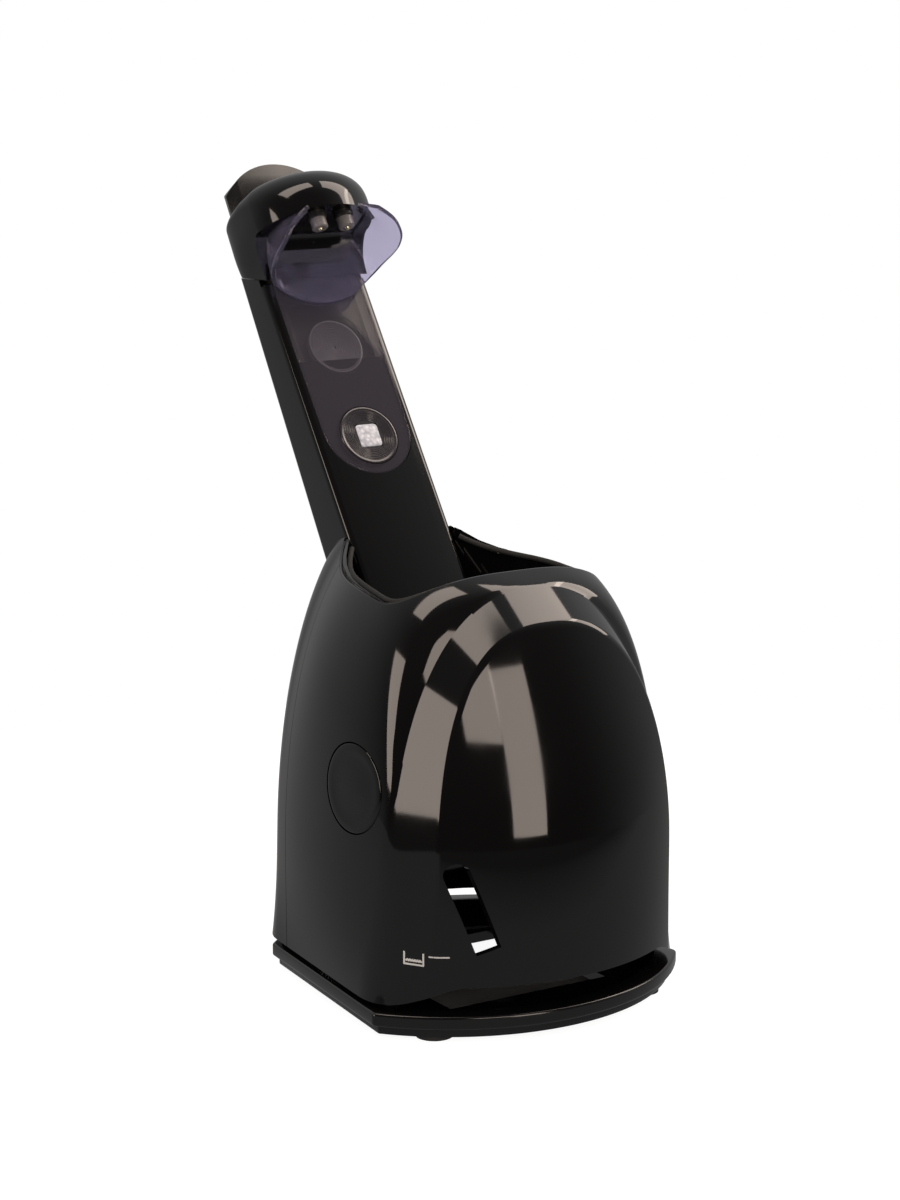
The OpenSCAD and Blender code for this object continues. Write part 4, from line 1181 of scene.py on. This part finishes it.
@dataclass
class Arm:
    """The leaning arm with its smoked cover, disc and start button.

    Attributes:
        half: Half width.
        back: Distance of its back behind the reference point.
        down: Reach down from the reference point.
        up: Reach up to the hood.
        lean: Degrees that it leans back.
        wall: Thickness of its walls.
        taper: Slope by which the front closes on the back.
        ref_y: Place of the reference point, the middle of the start button.
        ref_z: Height of the reference point.
        joint: Height of the joint under the hood, on the arm's plane.
        edge: Depth of the front cover's sides.
        crown: How far the front bulges over its width.
    """

    half: float = 20.0
    back: float = 16.5
    down: float = 72.0
    up: float = 74.0
    lean: float = 32.0
    wall: float = 2.0
    taper: float = 0.05
    ref_y: float = 65.8
    ref_z: float = 172.7
    joint: float = 60.6
    edge: float = 3.6
    crown: float = 1.1

    def place(self) -> Matrix:
        """Places a piece in the arm's frame: z runs up the arm, -y out of its front."""
        lean = Matrix.Rotation(math.radians(-self.lean), 4, "X")
        return Matrix.Translation((0, self.ref_y, self.ref_z)) @ lean

    def front(self, s: float) -> float:
        """y of the front face at a height along the arm."""
        return -3.2 + self.taper * s

    def face(self, s: float) -> Matrix:
        """Places a piece on the front face: z points out, y runs up the arm."""
        tilt = Matrix.Rotation(math.pi / 2 - math.atan(self.taper), 4, "X")
        return self.place() @ Matrix.Translation((0, self.front(s) + FIT, s)) @ tilt

    def channel(self) -> None:
        """Builds the back and sides as one channel with soft corners."""
        outline = []
        for side in (1, -1):
            start = 0 if side > 0 else 90
            turns = [math.radians(start + a) for a in range(0, 91, 10)]
            middle = side * (self.half - 3)
            outline += [(middle + 3 * math.cos(a), self.back - 3 + 3 * math.sin(a)) for a in turns]
        outline = [(self.half, 0.0), *outline, (-self.half, 0.0)]
        shape = prism(outline, -self.down, self.up)
        long = [e for e in shape.edges if abs(e.calc_length() - self.down - self.up) < 1]
        bmesh.ops.subdivide_edges(shape, edges=long, cuts=12)
        for vert in shape.verts:
            if vert.co.y < 5:
                vert.co.y = self.front(min(vert.co.z, self.joint)) + FIT + self.edge
            if vert.co.z > self.up - 1:
                vert.co.z = self.joint + 0.58 * vert.co.y
        piece = as_object(shape, "arm_channel")
        inside = self.half - self.wall
        cut(piece, [block((-inside, -30, -self.down - 5), (inside, self.back - self.wall, 90))])
        hand_over(piece, GLOSS_BLACK, Body.STATION, ["arm_rear_cover"], self.place())

    def front_panel(self) -> None:
        """Builds the lower front with its rails beside the smoked cover, and the panel below that."""
        soft, steps = 2.3, 8
        side = [(self.half, -self.edge)]
        side += [
            (self.half - soft + soft * math.cos(a), -soft - self.crown + (soft + 0.2) * math.sin(a))
            for a in (math.pi / 2 * i / steps for i in range(steps + 1))
        ]
        top = [(x, -self.crown * (x / self.half) ** 2) for x in (15.0, 12.0, 9.0, 6.0, 3.0, 0.0)]
        half = side + top
        outline = half + [(-x, z) for x, z in reversed(half[:-1])]
        apron = prism(outline, self.down - FIT, -self.joint + 0.5)
        bmesh.ops.rotate(apron, matrix=Matrix.Rotation(math.pi / 2, 3, "X"), verts=apron.verts)
        piece = as_object(apron, "arm_apron")
        cut(piece, [self.cover_shape(0.2, -1.9, 5), block((-17.2, 30, -6), (17.2, 80, -1.5))])
        hand_over(piece, GLOSS_BLACK, Body.STATION, (), self.face(0), angle=22)
        panel = as_object(block((-17.1, -self.down + 4, -5.8), (17.1, self.up + 2, -1.95)), "arm_panel")
        soften(panel, 0.3, 2)
        cut(panel, [rod(14, -4.2, 5), block((-14, 0, -4.2), (14, self.up + 4, 5))])
        hand_over(panel, INNER_BLACK, Body.STATION, ["arm_front_cover"], self.face(0))

    def cover_shape(self, grow: float, low: float, high: float) -> bmesh.types.BMesh:
        """Outline of the smoked cover, round at its lower end, as a prism.

        Args:
            grow: How far the outline is grown.
            low: Lowest corner or height.
            high: Highest corner or height.

        Returns:
            The closed prism.
        """
        r = 16.6 + grow
        turns = [math.pi + i * math.pi / 40 for i in range(41)]
        arc = [(r * math.cos(a), 2.4 + r * math.sin(a)) for a in turns]
        top = self.up + 1 + grow
        sides = [(17 + grow, 30.0), (17 + grow, top), (-17 - grow, top), (-17 - grow, 30.0)]
        return prism([*arc, *sides], low, high)

    def smoked(self) -> None:
        """Builds the smoked cover with a rounded rim and the hole of the start button."""
        shape = self.cover_shape(0, -1.8, -0.1)
        rim = [e for e in shape.edges if all(v.co.z > -1 for v in e.verts)]
        bmesh.ops.bevel(
            shape,
            geom=rim,
            offset=0.7,
            affect="EDGES",
            segments=4,
            profile=0.5,
            material=-1,
            clamp_overlap=True,
        )
        piece = as_object(shape, "smoked_front")
        cut(piece, [rod(11, -5, 5)])
        hand_over(piece, SMOKED, Body.STATION, ["smoked_cover"], self.face(0))

    def ringed(
        self, radius: float, start: float, pitch: float, depth: float, dish: float
    ) -> list[tuple[float, float]]:
        """Profile of a dished face with turned rings.

        Args:
            radius: Radius of the face.
            start: Radius of the first ring.
            pitch: Distance between rings.
            depth: Depth of a groove.
            dish: Depth of the dish.

        Returns:
            Radius and height from the middle outwards.
        """
        profile = [(0.0, -dish)]
        steps = int((radius - start) / pitch)
        for i in range(steps):
            r = start + i * pitch
            level = -dish * (1 - (r / radius) ** 2)
            profile += [(r, level), (r + pitch * 0.55, level + 0.02), (r + pitch * 0.78, level - depth)]
        return [*profile, (radius, 0.0)]

    def disc(self) -> None:
        """Turns the dished disc under the smoked cover, with its tiny centre mark."""
        mark = [(0, -1.25), (0.35, -1.25), (0.45, -1.05), (0.8, -1.04)]
        rings = self.ringed(9.6, 1.4, 0.62, 0.05, 1.0)[1:]
        profile = mark + rings + [(10, -0.1), (10, -2.4), (0, -2.4)]
        piece = as_object(turned(profile), "turned_disc")
        seat = self.face(35) @ Matrix.Translation((0, 0, -1.75))
        hand_over(piece, TURNED, Body.STATION, ["indicator_disc"], seat, angle=20)

    def start_button(self) -> None:
        """Turns the start button with its rings and cuts the seat of the light window."""
        face = [(0, -0.25)] + self.ringed(10.1, 5.2, 0.62, 0.08, 0.25)[1:]
        profile = face + [(10.5, -0.08), (10.7, -0.35), (10.7, -2.6), (3.2, -2.6), (3.2, -6.8), (0, -6.8)]
        piece = as_object(turned(profile), "start_button_cap")
        cut(piece, [block((-4.25, -4.25, -1.7), (4.25, 4.25, 5))])
        hand_over(piece, START_FACE, Body.START_BUTTON, ["start_button"], self.face(0), angle=20)
        shape = block((-4.2, -4.2, -1.65), (4.2, 4.2, -0.1))
        round_edges(shape, lambda e: abs(e.verts[0].co.z - e.verts[1].co.z) > 1, 1.3, 5)
        window = as_object(shape, "start_window")
        soften(window, 0.3, 3, 30)
        hand_over(window, WINDOW, Body.START_BUTTON, ["light_window"], self.face(0))

    def build(self) -> None:
        """Builds every piece of the arm."""
        self.channel()
        self.front_panel()
        self.smoked()
        self.disc()
        self.start_button()


@dataclass
class Head:
    """The domed hood with its release button, violet guard and contact bosses.

    Attributes:
        arm: Arm that carries it.
        front: Reach of the hood in front of the arm's plane.
        top: Height of its roof along the arm.
        wall: Thickness of the hood.
        middle: Distance of its widest place in front of the arm's plane.
        lip: Height of the lower edge at the front.
        guard: Thickness of the guard.
        swell: How far the hood swells out over the arm.
    """

    arm: Arm
    front: float = 26.4
    top: float = 93.6
    wall: float = 2.0
    middle: float = 8.0
    lip: float = 74.8
    guard: float = 1.4
    swell: float = 2.4

    def point(self, turn: float, k: float, inset: float, level: Optional[float]) -> Vector:
        """A point of the hood.

        Args:
            turn: Angle round the hood.
            k: 1 at the rim, 0 at the crown.
            inset: Distance inside the outer surface.
            level: Height of the point, where it is on the upright wall.

        Returns:
            The point in the arm's frame.
        """
        c, s = math.cos(turn), math.sin(turn)
        height = 90.0 if level is None else level
        swell = min(1.0, max(0.0, (height - self.arm.joint) / 20))
        swell *= swell * (3 - 2 * swell)
        power = 2.0 if s < 0 else 9.0 - 4.0 * swell
        reach = self.front - self.middle if s < 0 else self.arm.back + self.middle + self.swell * swell
        reach -= inset
        half = self.arm.half + self.swell * swell * (1 + min(0.0, s))
        x = k * math.copysign((half - inset) * abs(c) ** (2 / power), c)
        y = -self.middle + math.copysign(k * reach * abs(s) ** (2 / power), s)
        if level is not None:
            return Vector((x, y, level))
        rise = min(1.0, max(0.0, (25 + y) / 25))
        rim = 76.5 + 9.5 * rise * rise * (3 - 2 * rise)
        roof = self.top - 0.006 * (y + 6) ** 2 - inset
        return Vector((x, y, rim + (roof - rim) * max(0.0, 1 - k**3) ** (1 / 3)))

    def skin(self, inset: float) -> bmesh.types.BMesh:
        """One closed-topped skin of the hood, open below.

        Args:
            inset: Distance inside the outer line or surface.

        Returns:
            The sheet, open below.
        """

        def surface(across: float, along: float) -> Vector:
            """Upright wall for the first quarter, dome for the rest.

            Args:
                across: Share from one side to the other.
                along: Share from one end to the other.

            Returns:
                The point.
            """
            turn = math.tau * across
            if along < 0.25:
                rim = self.point(turn, 1, inset, None).z
                return self.point(turn, 1, inset, 50 + (rim - 50) * along / 0.25)
            share = (along - 0.25) / 0.75
            return self.point(turn, math.cos(share * math.pi / 2) ** 0.8, inset, None)

        return sheet(160, 64, surface)

    def under(self) -> bmesh.types.BMesh:
        """Shape cut away under the hood, in the arm's frame.

        Returns:
            The closed cutter.
        """
        outline = [
            (-60, 40), (30, 40), (30, self.arm.joint + FIT + 17.4), (-0.9, self.arm.joint + FIT - 0.5),
            (-0.9, self.lip - 12), (-1.2, self.lip - 8.4), (-2.1, self.lip - 5.4), (-3.3, self.lip - 2.8),
            (-4.9, self.lip - 0.8), (-6.6, self.lip), (-60, self.lip),
        ]
        shape = prism(outline, -50, 50)
        shape.transform(Matrix.Rotation(math.pi / 2, 4, "Z") @ Matrix.Rotation(math.pi / 2, 4, "X"))
        return shape

    def release_plan(self, grow: float) -> list[tuple[float, float]]:
        """Outline of the release button, seen along the arm.

        Args:
            grow: How far the outline is grown.

        Returns:
            Its corners, anticlockwise from above.
        """
        back = self.arm.back
        half = [(13, back - 0.2 + 6 * grow), (17, back - 2 + grow), (19, 10.0), (15.2, 6 - grow)]
        right = [(x + grow, y) for x, y in half]
        return [*reversed(right), *[(-x, y) for x, y in right]]

    def hood(self) -> None:
        """Builds the hood as a shell, with the joint, the lip and the button's opening."""
        piece = as_object(walled(self.skin(0), self.skin(self.wall)), "hood_shell")
        cut(piece, [self.under(), prism(self.release_plan(0.4), 82.4, 126)])
        hand_over(piece, GLOSS_BLACK, Body.STATION, ["hood"], self.arm.place(), angle=30)

    def release(self) -> None:
        """Builds the release button: a faceted block with a domed top and rounded edges."""
        piece = as_object(prism(self.release_plan(0), 86, 126), "release_cap")
        dome = rod(23.5, -40, 40, 160)
        dome.transform(Matrix.Translation((0, 0, 107.8 - 23.5)) @ Matrix.Rotation(math.pi / 2, 4, "X"))
        cut(piece, [dome], "INTERSECT")
        soften(piece, 0.9, 4, 25)
        hand_over(piece, RELEASE_BLACK, Body.RELEASE_BUTTON, ["release_button"], self.arm.place())

    def visor(self) -> None:
        """Builds the clear guard that runs from the arm round both sides of the head."""
        low = [
            (0, 2.5, 50.0), (5, 2.5, 50.5), (9.6, 2.5, 51.9), (13.6, 2.8, 54.1), (16.8, 3.5, 56.5),
            (19, 5.4, 58.3), (20.7, 9.8, 59.5), (22.2, 15.6, 60.2), (22.7, 20, 61), (22, 24.4, 62.8),
            (20, 27, 66), (17.2, 28, 68.6), (13.5, 28.4, 71.3),
        ]
        high = [
            (0, 2.5), (5.6, 2.5), (10.6, 2.5), (13.4, 2.8), (14.9, 3.4), (15.2, 5.2), (15, 9.8), (14.1, 15),
            (12.4, 18), (10.3, 20), (8.8, 21.2), (8.3, 22.2), (8, 23.2),
        ]

        def surface(across: float, along: float) -> Vector:
            """Point between the lower and the upper edge.

            Args:
                across: Share from one side to the other.
                along: Share from one end to the other.

            Returns:
                The point.
            """
            side = -1 if across < 0.5 else 1
            share = abs(2 * across - 1)
            x0, n0, s0 = smooth_list(low, share)
            x1, n1 = smooth_list(high, share)
            bulge = 0.9 * math.sin(math.pi * along) * min(1.0, 2.2 * share)
            across_arm = side * (x0 + (x1 - x0) * along + bulge)
            return Vector((across_arm, -(n0 + (n1 - n0) * along), s0 + (75.6 - s0) * along))

        shape = sheet(144, 20, surface)
        bmesh.ops.recalc_face_normals(shape, faces=shape.faces)
        piece = as_object(shape, "violet_guard")
        wall = piece.modifiers.new("wall", "SOLIDIFY")
        wall.thickness = self.guard
        wall.offset = -1.0
        applied(piece)
        soften(piece, 0.3, 2, 50)
        hand_over(piece, VIOLET, Body.STATION, ["visor"], self.arm.place(), angle=50)

    def contacts(self) -> None:
        """Builds the dark contact carrier with its two clear bosses and the pins in them."""
        arm = self.arm.place()
        carrier = as_object(block((-9.5, -23, 76.8), (9.5, -14, 83.5)), "contact_carrier")
        soften(carrier, 0.4, 2)
        hand_over(carrier, INNER_BLACK, Body.STATION, ["contact_block"], arm)
        sleeve = [(0, 72.6), (2.9, 72.6), (3.3, 73.0), (3.3, 76.9), (0, 76.9)]
        boss = [(1.15, 72.7), (1.15, 68.9), (2.3, 68.9), (2.75, 69.3), (2.75, 72.7), (1.15, 72.7)]
        tip = [(0, 68.3), (0.6, 68.4), (0.95, 68.9), (1.0, 69.4), (1.0, 77.0), (1.9, 77.0)]
        tip += [(1.9, 77.9), (0, 77.9)]
        for x, body, node in (
            (-5.2, Body.LEFT_CONTACT, "left_contact_pin"),
            (5.2, Body.RIGHT_CONTACT, "right_contact_pin"),
        ):
            move = arm @ Matrix.Translation((x, -20, 0))
            for prefix, profile, finish, carrier_body, nodes in (
                ("sleeve_", sleeve, INNER_BLACK, Body.STATION, []),
                ("boss_", boss, BOSS_GREY, Body.STATION, []),
                ("tip_", tip, CONTACT_METAL, body, [node]),
            ):
                piece = as_object(turned(profile), prefix + node)
                hand_over(piece, finish, carrier_body, nodes, move)

    def build(self) -> None:
        """Builds every piece of the head."""
        self.hood()
        self.release()
        self.visor()
        self.contacts()


# ---------- studio ----------


@dataclass
class Studio:
    """Camera, pale floor and soft light.

    Attributes:
        eye: Place of the camera in millimetres.
        aim: Point that it looks at.
        pixels: Focal length in pixels of the 900 by 1200 frame.
        centre: Principal point in those pixels.
        distance: Distance of the soft boxes in metres.
        warm: Their colour.
        glow: Their radiance.
    """

    eye: tuple[float, float, float] = (-530.985, -817.646, 327.509)
    aim: tuple[float, float, float] = (0.0, 0.0, 105.0)
    pixels: float = 3079.4
    centre: tuple[float, float] = (471.8, 670.6)
    distance: float = 1.25
    warm: str = "#ffeee1"
    glow: float = 5.0

    def camera(self) -> None:
        """Creates the camera with the photograph's framing."""
        lens = bpy.data.cameras.new("camera")
        lens.sensor_width = 36.0
        lens.lens = self.pixels / 1200 * lens.sensor_width
        lens.shift_x = (450 - self.centre[0]) / 1200
        lens.shift_y = (self.centre[1] - 600) / 1200
        lens.clip_end = 20
        camera = bpy.data.objects.new("camera", lens)
        camera.location = Vector(self.eye) * MM
        camera.rotation_euler = (Vector(self.aim) - Vector(self.eye)).to_track_quat("-Z", "Y").to_euler()
        bpy.context.scene.collection.objects.link(camera)
        bpy.context.scene.camera = camera

    def soft_box(
        self, name: str, seen: Vector, way: tuple[float, float], spread: tuple[float, float]
    ) -> None:
        """Adds a soft box of plain brightness that shows in one part of the surface.

        Args:
            name: Name of the lamp.
            seen: Place on the object that mirrors it, in millimetres.
            way: Azimuth and elevation from there, in degrees.
            spread: Width and height that it takes up, in degrees.
        """
        turn, rise = (math.radians(a) for a in way)
        out = Vector((math.cos(rise) * math.cos(turn), math.cos(rise) * math.sin(turn), math.sin(rise)))
        lamp = bpy.data.lights.new(name, "AREA")
        lamp.shape = "RECTANGLE"
        lamp.size, lamp.size_y = (2 * self.distance * math.tan(math.radians(a / 2)) for a in spread)
        lamp.energy = self.glow * math.pi * lamp.size * lamp.size_y
        lamp.color = linear(self.warm)[:3]
        box = bpy.data.objects.new(name, lamp)
        box.location = seen * MM + out * self.distance
        box.rotation_euler = (-out).to_track_quat("-Z", "Y").to_euler()
        bpy.context.scene.collection.objects.link(box)

    def lights(self) -> None:
        """Places the soft boxes where the photograph shows their reflections."""
        self.soft_box("front_column", Vector((-15, -55, 85)), (-84, 9.5), (18, 35))
        self.soft_box("front_corner", Vector((-28, -50, 105)), (-102, 20), (18, 15))
        self.soft_box("left", Vector((-43, -36, 90)), (178, 13), (19, 34))
        self.soft_box("over_left", Vector((-32, -26, 132)), (180, 74), (15, 40))
        self.soft_box("over_right", Vector((0, -40, 132)), (-4, 57), (20, 36))
        self.soft_box("right", Vector((14, 45, 147)), (-10, 30), (18, 26))

    def seen_rays(self, tree: bpy.types.NodeTree, path: bpy.types.Node) -> bpy.types.Node:
        """Picks the rays of the camera and those that went through a clear piece.

        Args:
            tree: Node tree that takes the node.
            path: Its light path node.

        Returns:
            Node that gives 1 for those rays.
        """
        return add_node(
            tree,
            "ShaderNodeMath",
            {0: path.outputs["Is Camera Ray"], 1: path.outputs["Is Transmission Ray"]},
            operation="MAXIMUM",
        )

    def ramp(
        self,
        tree: bpy.types.NodeTree,
        value: bpy.types.NodeSocket,
        start: tuple[float, float],
        end: tuple[float, float],
        kind: str = "LINEAR",
    ) -> bpy.types.NodeSocket:
        """Maps a value between two points.

        Args:
            tree: Node tree that takes the node.
            value: Value to map.
            start: First value and its result.
            end: Last value and its result.
            kind: Interpolation between them.

        Returns:
            The mapped value.
        """
        names = ("From Min", "To Min", "From Max", "To Max")
        inputs = {"Value": value, **dict(zip(names, (*start, *end)))}
        return add_node(tree, "ShaderNodeMapRange", inputs, interpolation_type=kind).outputs["Result"]

    def floor(self) -> None:
        """Lays the pale floor, which keeps a faint shadow, and a painted shade where its glow is taken out
        under the front of the base window.
        """
        shape = bmesh.new()
        bmesh.ops.create_circle(shape, cap_ends=True, segments=96, radius=0.4)
        bmesh.ops.translate(shape, vec=(0, 0, -0.0002), verts=shape.verts)
        floor = as_object(shape, "floor")
        made = bpy.data.materials.new("pale_floor")
        made.use_nodes = True
        tree = made.node_tree
        tree.nodes.clear()
        paint = add_node(tree, "ShaderNodeBsdfDiffuse", {"Color": (0.25, 0.25, 0.25, 1.0)})
        spot = add_node(
            tree, "ShaderNodeSeparateXYZ", {0: add_node(tree, "ShaderNodeTexCoord", {}).outputs["Object"]}
        )
        # Painted shade: the glow is taken out where |x| < 33 mm and -44 mm < y < 0, under the front of the
        # base window, standing in for the shadow under the object.
        open_side = self.ramp(tree, spot.outputs["Y"], (0.0, 0.0), (0.01, 1.0))
        wide = add_node(tree, "ShaderNodeMath", {0: spot.outputs["X"]}, operation="ABSOLUTE")
        beside = add_node(tree, "ShaderNodeMath", {0: wide.outputs[0], 1: 0.033}, operation="GREATER_THAN")
        ahead = add_node(tree, "ShaderNodeMath", {0: spot.outputs["Y"], 1: -0.044}, operation="LESS_THAN")
        clear = add_node(
            tree, "ShaderNodeMath", {0: beside.outputs[0], 1: ahead.outputs[0]}, operation="MAXIMUM"
        )
        outside_painted_shade = add_node(
            tree, "ShaderNodeMath", {0: clear.outputs[0], 1: open_side}, operation="MAXIMUM"
        )
        strength = add_node(tree, "ShaderNodeMath", {0: outside_painted_shade.outputs[0], 1: 0.93}, operation="MULTIPLY")
        glow = add_node(
            tree, "ShaderNodeEmission", {"Color": (1, 1, 1, 1), "Strength": strength.outputs[0]}
        )
        both = add_node(tree, "ShaderNodeAddShader", {0: paint.outputs[0], 1: glow.outputs[0]})
        far = self.ramp(tree, spot.outputs["Y"], (-0.26, 0.08), (-0.15, 0.28))
        dim = add_node(tree, "ShaderNodeEmission", {"Color": (1, 1, 1, 1), "Strength": far})
        path = add_node(tree, "ShaderNodeLightPath", {})
        seen = self.seen_rays(tree, path)
        sides = {0: seen.outputs[0], 1: dim.outputs[0], 2: both.outputs[0]}
        mix = add_node(tree, "ShaderNodeMixShader", sides)
        add_node(tree, "ShaderNodeOutputMaterial", {"Surface": mix.outputs[0]})
        floor.data.materials.append(made)
        floor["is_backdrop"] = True

    def world(self) -> None:
        """Makes the world white for the camera and clear pieces, and for gloss behind the object."""
        world = bpy.data.worlds.new("studio")
        world.use_nodes = True
        bpy.context.scene.world = world
        tree = world.node_tree
        tree.nodes.clear()
        path = add_node(tree, "ShaderNodeLightPath", {})
        seen = self.seen_rays(tree, path)
        way = add_node(tree, "ShaderNodeTexCoord", {}).outputs["Generated"]
        turned_way = add_node(
            tree, "ShaderNodeVectorMath", {0: way, 1: (0.45, 0.89, 0.0)}, operation="DOT_PRODUCT"
        )
        backdrop = self.ramp(tree, turned_way.outputs["Value"], (-0.55, 0.07), (0.5, 0.5), "SMOOTHSTEP")
        upright = add_node(tree, "ShaderNodeSeparateXYZ", {0: way}).outputs["Z"]
        height = self.ramp(tree, upright, (-0.05, 0.56), (0.5, 1.0))
        behind = add_node(tree, "ShaderNodeMath", {0: backdrop, 1: height}, operation="MULTIPLY")
        soft = add_node(
            tree, "ShaderNodeMix", {0: path.outputs["Is Glossy Ray"], 2: 0.35, 3: behind.outputs[0]}
        )
        level = add_node(tree, "ShaderNodeMix", {0: seen.outputs[0], 2: soft.outputs[0], 3: 1.0})
        background = add_node(
            tree, "ShaderNodeBackground", {"Color": (1, 1, 1, 1), "Strength": level.outputs[0]}
        )
        add_node(tree, "ShaderNodeOutputWorld", {"Surface": background.outputs[0]})

    def build(self) -> None:
        """Sets up the camera, the floor, the lights and the world."""
        self.camera()
        self.floor()
        self.lights()
        self.world()
        bpy.context.scene.view_settings.view_transform = "Standard"


def corners(box: Sequence[Sequence[float]]) -> list[list[float]]:
    """Turns a box into plain lists of numbers."""
    return [[float(v) for v in corner] for corner in box]


def dress_frame(nodes: dict[str, bpy.types.Object]) -> None:
    """Gives the CAD nodes that stay their finishes.

    Args:
        nodes: CAD nodes by name.
    """
    for finish, names in CAD_FINISHES.items():
        for name in names.split():
            mesh = nodes[name].data
            mesh.materials.clear()
            mesh.materials.append(finish.material())
            LOG.info("node %s: %s", name, finish.name)


def main() -> None:
    """Builds the looks in order and hands them to the frame."""
    logging.basicConfig(level=logging.INFO, format="%(name)s: %(message)s")
    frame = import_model()
    sizes = {"cad": corners(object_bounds())}
    Studio().build()
    dress_frame(frame["nodes"])
    arm = Arm()
    button = LiftButton()
    housing = Housing()
    housing.build(arm, button)
    button.build(housing.tree)
    Base(housing).build()
    arm.build()
    Head(arm).build()
    sizes["visual"] = corners(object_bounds())


if __name__ == "__main__":
    main()
